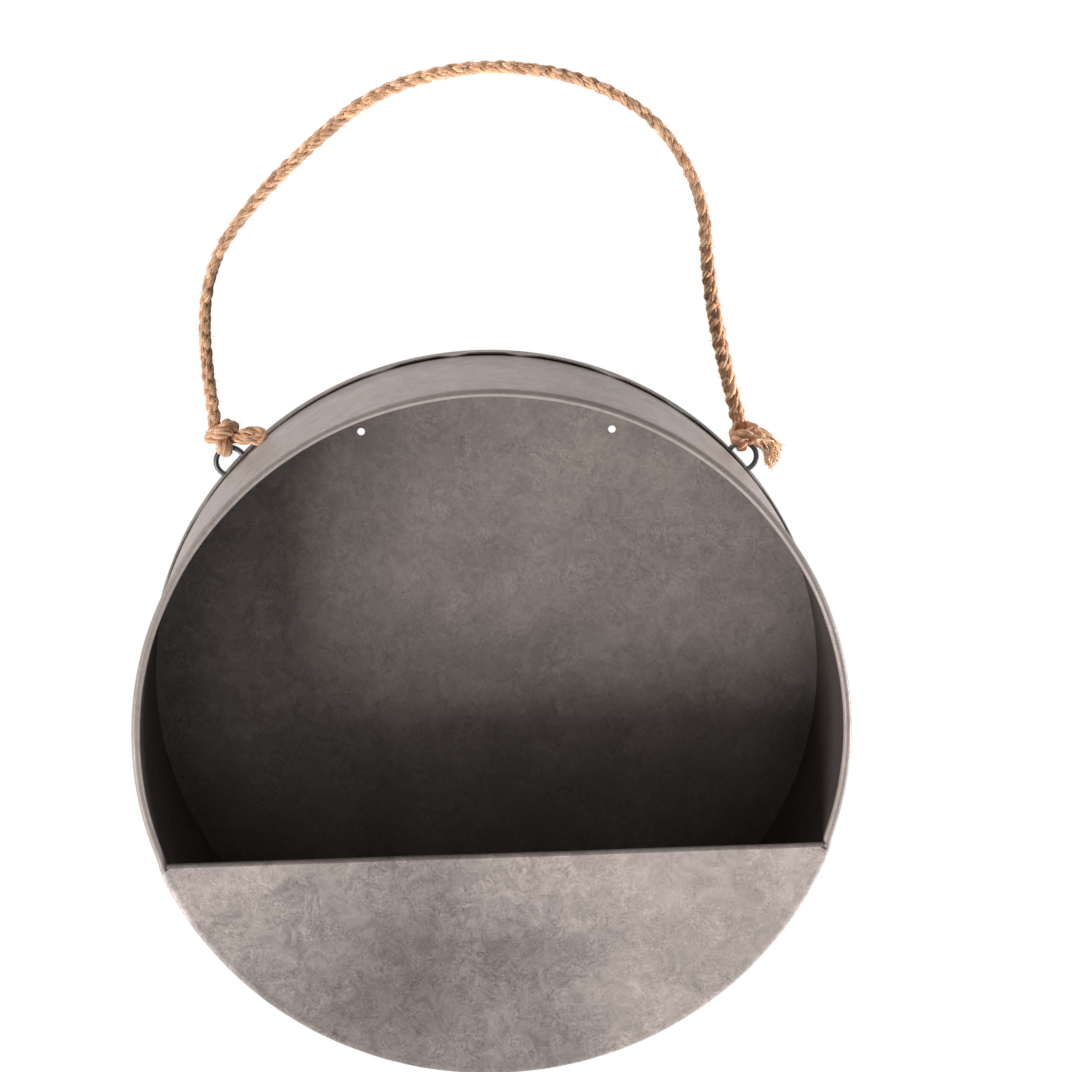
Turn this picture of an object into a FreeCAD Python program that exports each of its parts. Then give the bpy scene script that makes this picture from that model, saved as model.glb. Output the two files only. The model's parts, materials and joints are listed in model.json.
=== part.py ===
import FreeCAD, Part
import math
import os
import Sketcher

# Round wall planter in sheet steel: a shallow drum that hangs flat on a wall.
# A back plate with a turned lip, a rolled side band with a wired rim bead, and
# a low front panel that makes the planting pocket. Two wire loops on the lip
# carry a knotted rope.
#
# Frame: +X to the right, +Z up, front towards -Y. The origin is the centre of
# the back plate's wall face. Millimetres and degrees.

doc = FreeCAD.newDocument("wall_planter")

# ---------------------------------------------------------------- sizes

SIZES = (
    ("drum_diameter", 400.0, "across the rim bead"),
    ("drum_depth", 115.0, "from the wall face to the front of the rim bead"),
    ("sheet_thickness", 0.8, "back plate, side band and pocket front"),
    ("rim_wire_diameter", 3.0, "wire inside the rim bead"),
    ("rim_wire_play", 0.04, "gap between the rim wire and the sheet round it"),
    ("bead_curl_angle", 295.0, "how far the sheet is rolled round the wire"),
    ("lip_depth", 10.0, "turned lip of the back plate, from the wall face"),
    ("lip_gap", 0.7, "open gap between the lip and the side band"),
    ("lip_bend", 1.4, "outer bend radius of the lip"),
    ("seam_lap_angle", 4.0, "overlap of the side band's two ends"),
    ("seam_end_gap", 2.0, "from the lap to the lip and to the bead"),
    ("screw_spacing", 145.0, "between the two wall screws"),
    ("screw_height", 150.0, "wall screws above the drum's centre"),
    ("screw_hole_diameter", 4.4, "clearance hole for a 4 mm screw"),
    ("pocket_drop", 66.5, "from the drum's centre down to the pocket's edge"),
    ("pocket_tilt", 1.1, "how far the pocket front sits out of level"),
    ("hem_diameter", 4.0, "rolled hem along the pocket's edge"),
    ("hem_curl_angle", 270.0, "how far the hem is rolled"),
    ("hem_end_gap", 1.0, "from the hem's ends to the side band"),
    ("skirt_play", 0.2, "between the rim bead and the pocket front's skirt"),
    ("skirt_bend", 2.2, "outer bend radius of the skirt"),
    ("skirt_lock", 1.4, "how far the skirt is closed behind the bead"),
    ("loop_wire_diameter", 3.0, "wire of the hanger loops"),
    ("loop_inner_diameter", 13.4, "opening of the hanger loops"),
    ("loop_stand_off", 2.3, "from the lip out to the loop's centre"),
    ("loop_angle", 42.4, "loops above the horizontal, about the drum's centre"),
    ("loop_setback", 7.5, "from the wall face to the loops' plane"),
    ("rope_diameter", 7.0, "plaited rope"),
    ("knot_rope_diameter", 5.0, "rope pulled tight round the loop's wire"),
    ("knot_wrap_diameter", 5.8, "rope pulled tight round itself"),
    ("knot_play", 0.6, "between the loop's wire and the rope round it"),
    ("tail_diameter", 6.4, "cut end of the rope beside the left knot"),
    ("fray_diameter", 5.2, "each lock of the frayed end beside the right knot"),
)

sheet = doc.addObject("Spreadsheet::Sheet", "sizes")
for row, (alias, number, meaning) in enumerate(SIZES, start=1):
    sheet.set(f"A{row}", alias)
    sheet.set(f"B{row}", str(number))
    sheet.set(f"C{row}", meaning)
    sheet.setAlias(f"B{row}", alias)
doc.recompute()


class Size:
    """A number, together with the spreadsheet formula that gives it."""

    def __init__(self, number, formula):
        self.number = float(number)
        self.formula = formula

    def __add__(self, other):
        other = as_size(other)
        return Size(self.number + other.number, f"({self.formula} + {other.formula})")

    def __sub__(self, other):
        other = as_size(other)
        return Size(self.number - other.number, f"({self.formula} - {other.formula})")

    def __mul__(self, other):
        other = as_size(other)
        return Size(self.number * other.number, f"({self.formula} * {other.formula})")

    def __truediv__(self, other):
        other = as_size(other)
        return Size(self.number / other.number, f"({self.formula} / {other.formula})")

    def __neg__(self):
        return Size(-self.number, f"(-1 * {self.formula})")

    def __float__(self):
        return self.number


def as_size(value):
    return value if isinstance(value, Size) else Size(value, str(float(value)))


def cosine(angle):
    return Size(math.cos(math.radians(angle.number)), f"cos({angle.formula} * 1 deg)")


def sine(angle):
    return Size(math.sin(math.radians(angle.number)), f"sin({angle.formula} * 1 deg)")


def root(square):
    return Size(math.sqrt(square.number), f"sqrt({square.formula})")


def named(alias):
    return Size(sheet.get(alias), f"sizes.{alias}")


ZERO = Size(0, "0")

drum_depth = named("drum_depth")
sheet_thickness = named("sheet_thickness")
lip_depth = named("lip_depth")
lip_bend = named("lip_bend")
skirt_bend = named("skirt_bend")
skirt_lock = named("skirt_lock")

# Rim bead and side band: the bead's roll stands outside the band, and the
# band's inner face runs straight into it.
bead_radius = named("rim_wire_diameter") / 2 + sheet_thickness
bead_hollow = named("rim_wire_diameter") / 2
bead_outer = named("drum_diameter") / 2
bead_centre = bead_outer - bead_radius
bead_place = bead_radius - drum_depth
band_inner = bead_centre - bead_radius
band_outer = band_inner + sheet_thickness

# Back plate: its lip goes round the band's back edge with an open gap.
lip_inner = band_outer + named("lip_gap")
lip_outer = lip_inner + sheet_thickness

# Pocket front: a flat segment on the bead, with a skirt round it.
skirt_inner = bead_outer + named("skirt_play")
skirt_outer = skirt_inner + sheet_thickness
panel_front = -(drum_depth + sheet_thickness)
skirt_end = bead_radius * 2 + named("skirt_play") - drum_depth

# Hanger loops: wire rings in a plane parallel to the wall, their ends on the lip.
loop_wire_radius = named("loop_wire_diameter") / 2
loop_radius = named("loop_inner_diameter") / 2 + loop_wire_radius
loop_reach = lip_outer + named("loop_stand_off")
loop_across = loop_reach * cosine(named("loop_angle"))
loop_height = loop_reach * sine(named("loop_angle"))
loop_place = -named("loop_setback")


# ---------------------------------------------------------------- helpers

def origin_plane(body, role):
    return next(f for f in body.Origin.OriginFeatures if f.Role == role)


def new_body(label):
    body = doc.addObject("PartDesign::Body", label)
    body.Label = label
    return body


def new_sketch(body, name, role):
    sketch = body.newObject("Sketcher::SketchObject", name)
    sketch.AttachmentSupport = [(origin_plane(body, role), "")]
    sketch.MapMode = "FlatFace"
    return sketch


def bind(sketch, constraint, size):
    """Add a constraint with a size and tie it to the size's formula."""
    index = sketch.addConstraint(Sketcher.Constraint(*constraint, size.number))
    sketch.setExpression(f"Constraints[{index}]", size.formula)


def draw_outline(sketch, corners, rounds):
    """Closed outline through corners given as (across, along) sizes.

    rounds gives the sides that are arcs: side number -> (centre, radius, turn),
    where side n starts at corner n and turn is 1 anticlockwise, -1 clockwise.
    """
    count = len(corners)
    ends = []
    for side in range(count):
        start = FreeCAD.Vector(corners[side][0].number, corners[side][1].number, 0)
        after = corners[(side + 1) % count]
        stop = FreeCAD.Vector(after[0].number, after[1].number, 0)
        if side not in rounds:
            ends.append((sketch.addGeometry(Part.LineSegment(start, stop)), 1, 2))
            continue
        centre, radius, turn = rounds[side]
        middle = FreeCAD.Vector(centre[0].number, centre[1].number, 0)
        first, last = (start, stop) if turn > 0 else (stop, start)
        circle = Part.Circle(middle, FreeCAD.Vector(0, 0, 1), radius.number)
        opening = math.atan2(first.y - middle.y, first.x - middle.x)
        closing = math.atan2(last.y - middle.y, last.x - middle.x)
        if closing <= opening:
            closing += 2 * math.pi
        geometry = sketch.addGeometry(Part.ArcOfCircle(circle, opening, closing))
        ends.append((geometry, 1, 2) if turn > 0 else (geometry, 2, 1))
    for side, (geometry, start, stop) in enumerate(ends):
        following, begin, _ = ends[(side + 1) % count]
        sketch.addConstraint(Sketcher.Constraint("Coincident", geometry, stop, following, begin))
        across, along = corners[side]
        if across is ZERO:
            sketch.addConstraint(Sketcher.Constraint("PointOnObject", geometry, start, -2))
        else:
            bind(sketch, ("DistanceX", -1, 1, geometry, start), across)
        if along is ZERO:
            sketch.addConstraint(Sketcher.Constraint("PointOnObject", geometry, start, -1))
        else:
            bind(sketch, ("DistanceY", -1, 1, geometry, start), along)
        if side in rounds:
            bind(sketch, ("Radius", geometry), rounds[side][1])


def revolve_outline(body, name, corners, rounds):
    """Turn an outline in the XY plane through a full circle about the Y axis."""
    sketch = new_sketch(body, f"{name}_outline", "XY_Plane")
    draw_outline(sketch, corners, rounds)
    turned = body.newObject("PartDesign::Revolution", name)
    turned.Profile = sketch
    turned.ReferenceAxis = (sketch, ["V_Axis"])
    turned.Angle = 360
    doc.recompute()
    return turned


def cut_through(body, name, sketch):
    """Pocket a sketch right through the body, and see that it removes something."""
    before = body.Shape.Volume
    pocket = body.newObject("PartDesign::Pocket", name)
    pocket.Profile = sketch
    pocket.Type = "ThroughAll"
    pocket.Midplane = True
    doc.recompute()
    if body.Shape.Volume >= before:
        raise RuntimeError(f"{name} cuts nothing")


# ---------------------------------------------------------------- back plate

def make_back_plate():
    """Disc against the wall, with a lip turned forward and two screw holes."""
    body = new_body("back_plate")
    flat_edge = lip_outer - lip_bend
    corners = [
        (ZERO, ZERO),
        (ZERO, -sheet_thickness),
        (flat_edge, -sheet_thickness),
        (lip_inner, -lip_bend),
        (lip_inner, -lip_depth),
        (lip_outer, -lip_depth),
        (lip_outer, -lip_bend),
        (flat_edge, ZERO),
    ]
    centre = (flat_edge, -lip_bend)
    rounds = {
        2: (centre, lip_bend - sheet_thickness, -1),
        6: (centre, lip_bend, 1),
    }
    revolve_outline(body, "plate_and_lip", corners, rounds)

    holes = new_sketch(body, "screw_hole_centres", "XZ_Plane")
    height = named("screw_height")
    for side in (-1, 1):
        across = named("screw_spacing") / 2 * side
        radius = named("screw_hole_diameter") / 2
        middle = FreeCAD.Vector(across.number, height.number, 0)
        circle = Part.Circle(middle, FreeCAD.Vector(0, 0, 1), radius.number)
        geometry = holes.addGeometry(circle)
        bind(holes, ("DistanceX", -1, 1, geometry, 3), across)
        bind(holes, ("DistanceY", -1, 1, geometry, 3), height)
        bind(holes, ("Radius", geometry), radius)
    cut_through(body, "screw_holes", holes)
    return body


# ---------------------------------------------------------------- side band

def make_side_band():
    """Rolled strip: plain at the back, curled outward round a wire at the front."""
    body = new_body("side_band")
    curl_end = named("bead_curl_angle") - 180
    corners = [
        (band_outer, -sheet_thickness),
        (band_inner, -sheet_thickness),
        (band_inner, bead_place),
        (bead_centre + bead_radius * cosine(curl_end), bead_place + bead_radius * sine(curl_end)),
        (bead_centre + bead_hollow * cosine(curl_end), bead_place + bead_hollow * sine(curl_end)),
        (band_outer, bead_place),
    ]
    centre = (bead_centre, bead_place)
    rounds = {2: (centre, bead_radius, 1), 4: (centre, bead_hollow, -1)}
    revolve_outline(body, "band_and_bead", corners, rounds)

    # The strip's two ends lap at the bottom of the drum, as a second layer.
    lap = new_sketch(body, "seam_outline", "XY_Plane")
    behind = -(lip_depth + named("seam_end_gap"))
    ahead = bead_place + bead_radius + named("seam_end_gap")
    within = band_outer - sheet_thickness / 2
    beyond = band_outer + sheet_thickness
    draw_outline(lap, [(within, ahead), (beyond, ahead), (beyond, behind), (within, behind)], {})
    seam = body.newObject("PartDesign::Revolution", "seam_lap")
    seam.Profile = lap
    seam.ReferenceAxis = (lap, ["V_Axis"])
    seam.Midplane = True
    seam.setExpression("Angle", named("seam_lap_angle").formula)
    doc.recompute()
    body.Placement = FreeCAD.Placement(
        FreeCAD.Vector(0, 0, 0), FreeCAD.Rotation(FreeCAD.Vector(0, 1, 0), 90)
    )
    return body


def make_rim_wire():
    """Wire inside the bead, which stiffens the open rim."""
    ring = doc.addObject("Part::Torus", "rim_wire")
    ring.Label = "rim_wire"
    wire_radius = bead_hollow - named("rim_wire_play")
    ring.setExpression("Radius1", bead_centre.formula)
    ring.setExpression("Radius2", wire_radius.formula)
    ring.Placement.Rotation = FreeCAD.Rotation(FreeCAD.Vector(1, 0, 0), 90)
    ring.setExpression("Placement.Base.y", bead_place.formula)
    return ring


# ---------------------------------------------------------------- pocket front

def make_pocket_front():
    """Flat segment with a skirt closed behind the bead and a rolled top hem."""
    body = new_body("pocket_front")
    flat_edge = skirt_outer - skirt_bend
    half_right = Size(math.sqrt(0.5), "sqrt(0.5)")
    fold_back = sheet_thickness * Size(math.tan(math.radians(22.5)), "tan(22.5 deg)")
    lock_tip = skirt_outer - skirt_lock
    bend_place = panel_front + skirt_bend
    corners = [
        (ZERO, panel_front),
        (flat_edge, panel_front),
        (skirt_outer, bend_place),
        (skirt_outer, skirt_end),
        (lock_tip, skirt_end + skirt_lock),
        (lock_tip - sheet_thickness * half_right,
         skirt_end + skirt_lock - sheet_thickness * half_right),
        (skirt_inner, skirt_end - fold_back),
        (skirt_inner, bend_place),
        (flat_edge, -drum_depth),
        (ZERO, -drum_depth),
    ]
    centre = (flat_edge, bend_place)
    rounds = {
        1: (centre, skirt_bend, 1),
        7: (centre, skirt_bend - sheet_thickness, -1),
    }
    revolve_outline(body, "panel_and_skirt", corners, rounds)

    # Everything above the hem's centre line is cut away.
    hem_radius = named("hem_diameter") / 2
    hem_height = -(named("pocket_drop") + hem_radius)
    waste = new_sketch(body, "mouth_outline", "XZ_Plane")
    far = skirt_outer * 2
    draw_outline(waste, [(-far, hem_height), (far, hem_height), (far, far), (-far, far)], {})
    cut_through(body, "mouth", waste)

    # Hem: the sheet rolls over from the front face, back and down.
    hem_place = panel_front + hem_radius
    hem_hollow = hem_radius - sheet_thickness
    curl_end = Size(180, "180") - named("hem_curl_angle")
    roll = new_sketch(body, "hem_outline", "YZ_Plane")
    corners = [
        (panel_front, hem_height),
        (hem_place + hem_radius * cosine(curl_end), hem_height + hem_radius * sine(curl_end)),
        (hem_place + hem_hollow * cosine(curl_end), hem_height + hem_hollow * sine(curl_end)),
        (-drum_depth, hem_height),
    ]
    centre = (hem_place, hem_height)
    draw_outline(roll, corners, {0: (centre, hem_radius, -1), 2: (centre, hem_hollow, 1)})
    low = named("pocket_drop") + named("hem_diameter")
    half_length = root(band_inner * band_inner - low * low) - named("hem_end_gap")
    hem = body.newObject("PartDesign::Pad", "hem")
    hem.Profile = roll
    hem.Midplane = True
    hem.setExpression("Length", (half_length * 2).formula)
    doc.recompute()
    body.Placement.Rotation = FreeCAD.Rotation(FreeCAD.Vector(0, -1, 0), 1)
    body.setExpression("Placement.Rotation.Angle", named("pocket_tilt").formula)
    return body


# ---------------------------------------------------------------- hanger loops

def make_hanger_loop(label, side):
    """Wire ring whose inner stretch is cut away, so both ends meet the lip."""
    ring = doc.addObject("Part::Torus", f"{label}_ring")
    ring.setExpression("Radius1", loop_radius.formula)
    ring.setExpression("Radius2", loop_wire_radius.formula)
    ring.Placement.Rotation = FreeCAD.Rotation(FreeCAD.Vector(1, 0, 0), 90)
    ring.setExpression("Placement.Base.x", (loop_across * side).formula)
    ring.setExpression("Placement.Base.y", loop_place.formula)
    ring.setExpression("Placement.Base.z", loop_height.formula)

    lip = doc.addObject("Part::Cylinder", f"{label}_seat")
    lip.setExpression("Radius", lip_outer.formula)
    lip.setExpression("Height", (lip_depth * 2).formula)
    lip.Placement.Rotation = FreeCAD.Rotation(FreeCAD.Vector(1, 0, 0), 90)

    loop = doc.addObject("Part::Cut", label)
    loop.Label = label
    loop.Base = ring
    loop.Tool = lip
    return loop


# ---------------------------------------------------------------- rope

rope_radius = sheet.rope_diameter / 2

# Top of each loop's wire, about which the knots turn.
hinge_height = loop_height.number + loop_radius.number
left_top = FreeCAD.Vector(-loop_across.number, loop_place.number, hinge_height)
right_top = FreeCAD.Vector(loop_across.number, loop_place.number, hinge_height)

# The rope's route from the left knot over the top to the right knot. It leans
# back until its highest stretch lies against the wall. It is drawn for a right
# loop whose top is at ROUTE_TOP, and goes with the loops where they are moved.
ROUTE_TOP = FreeCAD.Vector(147.69, -7.5, 143.06)
ROPE_ROUTE = [
    (-156.3, -7.5, 162.5),
    (-162.0, -7.0, 205.0),
    (-156.0, -6.4, 251.0),
    (-131.0, -5.8, 285.0),
    (-99.0, -5.2, 316.0),
    (-65.0, -4.8, 344.0),
    (-23.0, -4.4, 358.0),
    (19.0, -4.3, 360.0),
    (61.0, -4.7, 351.0),
    (98.0, -5.2, 329.0),
    (123.0, -5.9, 288.0),
    (126.0, -6.5, 243.0),
    (133.0, -7.0, 202.0),
    (144.6, -7.5, 158.5),
]


def route_point(x, y, z):
    """A point of the rope's route, moved along with the loops."""
    widened = x * right_top.x / ROUTE_TOP.x
    set_back = y * right_top.y / ROUTE_TOP.y
    return FreeCAD.Vector(widened, set_back, z + right_top.z - ROUTE_TOP.z)


rope_points = [route_point(*point) for point in ROPE_ROUTE]


def tube(points, radius, report=""):
    """Round tube along straight runs that are joined by tangent arcs."""
    points = [FreeCAD.Vector(*point) for point in points]
    edges = []
    reached = points[0]
    bends = []
    for before, corner, after in zip(points, points[1:], points[2:]):
        back = (before - corner).normalize()
        ahead = (after - corner).normalize()
        half_turn = (math.pi - back.getAngle(ahead)) / 2
        trim = 0.45 * min((before - corner).Length, (after - corner).Length)
        bends.append(trim / math.tan(half_turn))
        start = corner + back * trim
        stop = corner + ahead * trim
        inward = (back + ahead).normalize()
        centre = corner + inward * (bends[-1] / math.cos(half_turn))
        middle = centre - inward * bends[-1]
        if (start - reached).Length > 1e-6:
            edges.append(Part.LineSegment(reached, start).toShape())
        edges.append(Part.Arc(start, middle, stop).toShape())
        reached = stop
    edges.append(Part.LineSegment(reached, points[-1]).toShape())
    path = Part.Wire(edges)
    section = Part.Wire([Part.makeCircle(radius, points[0], points[1] - points[0])])
    solid = path.makePipeShell([section], True, False)
    if report:
        expected = math.pi * radius ** 2 * path.Length
        print(f"{report}: length {path.Length:.1f}, bend radii", [round(b) for b in bends])
        print(f"{report}: volume {solid.Volume:.0f}, section times length {expected:.0f}")
    return solid


def feature(label, shape):
    """Put a shape that Part's own functions make into the document."""
    holder = doc.addObject("Part::Feature", label)
    holder.Label = label
    holder.Shape = shape
    return holder


def make_rope():
    return feature("rope", tube(rope_points, rope_radius, "rope"))


# ---------------------------------------------------------------- knots and tails

tight_radius = sheet.knot_rope_diameter / 2
wrap_radius = sheet.knot_wrap_diameter / 2
tail_radius = sheet.tail_diameter / 2
fray_radius = sheet.fray_diameter / 2
turn_radius = loop_wire_radius.number + sheet.knot_play + tight_radius

# The knots turn about lines along X.
ACROSS = FreeCAD.Vector(1, 0, 0)

# Both knots, in millimetres from the top of their loop: the turn round the
# wire, a core, a wrap round the standing rope that leans to one side, a rounded
# lobe, the neck up to the rope, and a stub whose end face the tail meets.
TURN_PLACE = FreeCAD.Vector(-1.5, 0, 0)
WRAP_RING_RADIUS = 5.6
NECK_LENGTH = 12.0
STUB_PLACE = FreeCAD.Vector(0, -2.5, 6.2)
KNOT_LEFT = {
    "wrap_place": FreeCAD.Vector(-6.0, -1.4, 8.6),
    "wrap_lean": 20.0,
    "lobe_place": FreeCAD.Vector(-1.2, -1.4, 11.8),
    "lobe_radius": 4.2,
    "core_place": FreeCAD.Vector(-5.0, -0.5, 7.0),
    "core_radius": 5.2,
    "stub_length": 4.2,
    "stub_radius": tail_radius,
}
KNOT_RIGHT = {
    "wrap_place": FreeCAD.Vector(-1.0, -1.4, 7.6),
    "wrap_lean": -8.0,
    "lobe_place": FreeCAD.Vector(2.4, -1.6, 8.8),
    "lobe_radius": 4.4,
    "core_place": FreeCAD.Vector(-1.5, -0.5, 7.3),
    "core_radius": 4.9,
    "stub_length": 7.6,
    "stub_radius": fray_radius,
}

# Tails: how far they leave their knot along X, how far the cut end of the left
# one reaches forward on the band, and the runs of the right one's two locks.
TAIL_LEAD = FreeCAD.Vector(4.5, 0, 0)
LEFT_END_ANGLE = 129.6
LEFT_END_REACH = 16.0
LEFT_END_SLANT = 0.45
LEFT_END_RUN = 7.5
UPPER_LOCK = FreeCAD.Vector(7.5, -1.5, -5.5)
LOWER_LOCK = [FreeCAD.Vector(4.0, -0.8, -9.0), FreeCAD.Vector(0.6, -0.2, -10.0)]


def make_knot(label, top, rope_end, rope_next, shape):
    """Rope turned once round the loop's wire, wrapped round itself and pulled tight."""
    turn = Part.makeTorus(turn_radius, tight_radius, top + TURN_PLACE, ACROSS)
    lean = math.radians(shape["wrap_lean"])
    leaning = FreeCAD.Vector(-math.sin(lean), 0, math.cos(lean))
    wrap = Part.makeTorus(WRAP_RING_RADIUS, wrap_radius, top + shape["wrap_place"], leaning)
    lobe = Part.makeSphere(shape["lobe_radius"], top + shape["lobe_place"])
    core = Part.makeSphere(shape["core_radius"], top + shape["core_place"])
    upward = (rope_next - rope_end).normalize()
    foot = rope_end - upward * NECK_LENGTH
    neck = Part.makeCylinder(rope_radius, NECK_LENGTH, foot, upward)
    stub = Part.makeCylinder(
        shape["stub_radius"], shape["stub_length"], top + STUB_PLACE, ACROSS
    )
    return feature(label, turn.multiFuse([core, wrap, lobe, neck, stub]).removeSplitter())


def tail_start(top, shape):
    return top + STUB_PLACE + ACROSS * shape["stub_length"]


def make_tail_left():
    """Blunt cut end, which lies along the side band."""
    start = tail_start(left_top, KNOT_LEFT)
    end_angle = math.radians(LEFT_END_ANGLE)
    outward = FreeCAD.Vector(math.cos(end_angle), 0, math.sin(end_angle))
    end = outward * (band_outer.number + tail_radius) + FreeCAD.Vector(0, -LEFT_END_REACH, 0)
    along_band = FreeCAD.Vector(outward.z, -LEFT_END_SLANT, -outward.x).normalize()
    points = [start, start + TAIL_LEAD, end - along_band * LEFT_END_RUN, end]
    return feature("rope_tail_left", tube(points, tail_radius))


def make_tail_right():
    """Frayed end, which hangs down in two locks."""
    start = tail_start(right_top, KNOT_RIGHT)
    level = start + TAIL_LEAD
    upper = tube([start, level, level + UPPER_LOCK], fray_radius)
    bend = level + LOWER_LOCK[0]
    lower = tube([start, level, bend, bend + LOWER_LOCK[1]], fray_radius)
    return feature("rope_tail_right", upper.fuse(lower).removeSplitter())


# ---------------------------------------------------------------- build and write

make_back_plate()
make_side_band()
make_rim_wire()
make_pocket_front()
make_hanger_loop("hanger_loop_left", -1)
make_hanger_loop("hanger_loop_right", 1)
make_rope()
make_knot("knot_left", left_top, rope_points[0], rope_points[1], KNOT_LEFT)
make_knot("knot_right", right_top, rope_points[-1], rope_points[-2], KNOT_RIGHT)
make_tail_left()
make_tail_right()
doc.recompute()

NODES = (
    "back_plate",
    "side_band",
    "rim_wire",
    "pocket_front",
    "hanger_loop_left",
    "hanger_loop_right",
    "rope",
    "knot_left",
    "knot_right",
    "rope_tail_left",
    "rope_tail_right",
)

for item in doc.Objects:
    if "Invalid" in item.State or "Error" in item.State:
        raise RuntimeError(f"{item.Label} failed: {item.State}")

os.makedirs("parts", exist_ok=True)
for node in NODES:
    shape = doc.getObjectsByLabel(node)[0].Shape
    if shape.isNull() or not shape.isValid():
        raise RuntimeError(f"{node} has no valid shape")
    if len(shape.Solids) != 1:
        raise RuntimeError(f"{node} has {len(shape.Solids)} solids")
    print(f"{node}: {shape.Volume / 1000:.2f} cm3")
    shape.exportStep(f"parts/{node}.step")
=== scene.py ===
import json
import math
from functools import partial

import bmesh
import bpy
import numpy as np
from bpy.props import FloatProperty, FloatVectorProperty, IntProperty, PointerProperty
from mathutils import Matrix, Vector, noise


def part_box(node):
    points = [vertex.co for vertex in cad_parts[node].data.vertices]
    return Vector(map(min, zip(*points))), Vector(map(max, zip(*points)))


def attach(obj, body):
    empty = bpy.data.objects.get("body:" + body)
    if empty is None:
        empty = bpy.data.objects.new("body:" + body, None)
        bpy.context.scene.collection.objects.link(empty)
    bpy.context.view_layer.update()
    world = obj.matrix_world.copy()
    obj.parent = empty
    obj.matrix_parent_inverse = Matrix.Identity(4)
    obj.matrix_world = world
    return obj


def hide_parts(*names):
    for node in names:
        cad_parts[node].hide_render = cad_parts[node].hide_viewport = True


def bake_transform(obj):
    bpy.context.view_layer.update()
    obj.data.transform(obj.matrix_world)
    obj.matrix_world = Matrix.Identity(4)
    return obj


bl_info = {
    "name": "Wall Planter",
    "version": (1, 0, 0),
    "blender": (4, 5, 0),
    "location": "View3D > Sidebar > Planter",
    "description": "Dresses a round sheet-metal wall planter with a knotted jute rope",
    "category": "Object",
}

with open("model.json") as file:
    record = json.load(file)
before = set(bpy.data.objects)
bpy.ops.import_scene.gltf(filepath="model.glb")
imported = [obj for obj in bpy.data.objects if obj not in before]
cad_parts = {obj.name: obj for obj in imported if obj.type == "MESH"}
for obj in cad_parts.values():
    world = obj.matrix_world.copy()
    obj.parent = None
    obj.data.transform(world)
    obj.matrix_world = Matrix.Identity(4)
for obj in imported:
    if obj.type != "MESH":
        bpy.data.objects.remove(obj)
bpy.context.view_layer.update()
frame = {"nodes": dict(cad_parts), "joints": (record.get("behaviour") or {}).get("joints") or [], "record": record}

MM = 0.001


# ---------------------------------------------------------------- sizes from the frame

HINGE = Vector(frame["joints"][0]["pos_m"])
BEAD_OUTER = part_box("side_band")[1].x
DRUM_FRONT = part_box("side_band")[0].y
PANEL_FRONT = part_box("pocket_front")[0].y
LIP_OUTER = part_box("back_plate")[1].x
LIP_DEPTH = -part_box("back_plate")[0].y
SHEET = DRUM_FRONT - PANEL_FRONT
LOOP_CENTRE = sum(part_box("hanger_loop_right"), Vector()) / 2
LOOP_TOP = Vector((LOOP_CENTRE.x, HINGE.y, HINGE.z))
SCREW = {m["name"]: m for m in frame["record"]["mounts"]}["wall_screws"]

BEAD_RADIUS = 2.3 * MM
BAND_INNER = BEAD_OUTER - 2 * BEAD_RADIUS
BAND_OUTER = BAND_INNER + SHEET
BEAD_CENTRE = (BEAD_OUTER - BEAD_RADIUS, DRUM_FRONT + BEAD_RADIUS)
LIP_BEND = 1.4 * MM
SKIRT_INNER = BEAD_OUTER + 0.2 * MM
SKIRT_OUTER = SKIRT_INNER + SHEET
SKIRT_BEND = 2.2 * MM
SKIRT_END = DRUM_FRONT + 4.8 * MM
SKIRT_LOCK = 1.4 * MM
POCKET_DROP = 66.5 * MM
POCKET_TILT = math.radians(1.1)
HEM_RADIUS = 2 * MM
HEM_PROUD = 0.6 * MM
HEM_OVER_BEAD = 1.9 * MM
# The skirt's ends are cut off on a slant, inwards of and below this place.
CORNER_CUT = (183.4 * MM, -69.5 * MM)
CORNER_SLANT = (4.3, 0.0, 5.8)
# The bead bulges where the skirt begins, at these turns in degrees.
BEAD_ENDS = (-19.6, 201.8)
BEAD_BULGE, BEAD_BULGE_TURN = 0.8 * MM, 1.2
# How far round the bead and the hem are rolled, and where the band's seam is,
# in degrees.
BEAD_CURL, HEM_CURL = 295, 270
SEAM = (268.0, 272.0)
# The bead presses a low ridge into the pocket front.
RIDGE_RADIUS, RIDGE_WIDTH, RIDGE_HEIGHT = 197.4 * MM, 0.9 * MM, 0.2 * MM
# Painted shade: the front is drawn darkest here, low on the left, and paler further away, standing in for light
# that falls brighter on its upper right.
PAINTED_SHADE_CENTRE = (-58 * MM, -115 * MM, -172 * MM)
TURN_STEPS = 720

# The rope's route from the left knot over the top to the right knot.
ROPE_ROUTE = [
    (-0.1563, -0.0075, 0.1625),
    (-0.1620, -0.0070, 0.2050),
    (-0.1560, -0.0064, 0.2510),
    (-0.1310, -0.0058, 0.2850),
    (-0.0990, -0.0052, 0.3160),
    (-0.0650, -0.0048, 0.3440),
    (-0.0230, -0.0044, 0.3580),
    (0.0190, -0.0043, 0.3600),
    (0.0610, -0.0047, 0.3510),
    (0.0980, -0.0052, 0.3290),
    (0.1230, -0.0059, 0.2880),
    (0.1260, -0.0065, 0.2430),
    (0.1330, -0.0070, 0.2020),
    (0.1446, -0.0075, 0.1585),
]
# The rope's girth at each point of its route, in shares of its diameter.
ROPE_SWELL = [1.06, 0.97, 0.92, 1.07, 1.10, 1.06, 1.08, 0.99, 0.99, 0.90, 0.96, 1.07, 1.22, 1.28]
# Painted light: how much paler the jute is drawn there, standing in for light that is short on the top and the
# right of the rope.
ROPE_PAINTED_LIFT = [0.0, 0.0, 0.0, 0.04, 0.1, 0.18, 0.22, 0.22, 0.22, 0.2, 0.2, 0.22, 0.26, 0.3]

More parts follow.
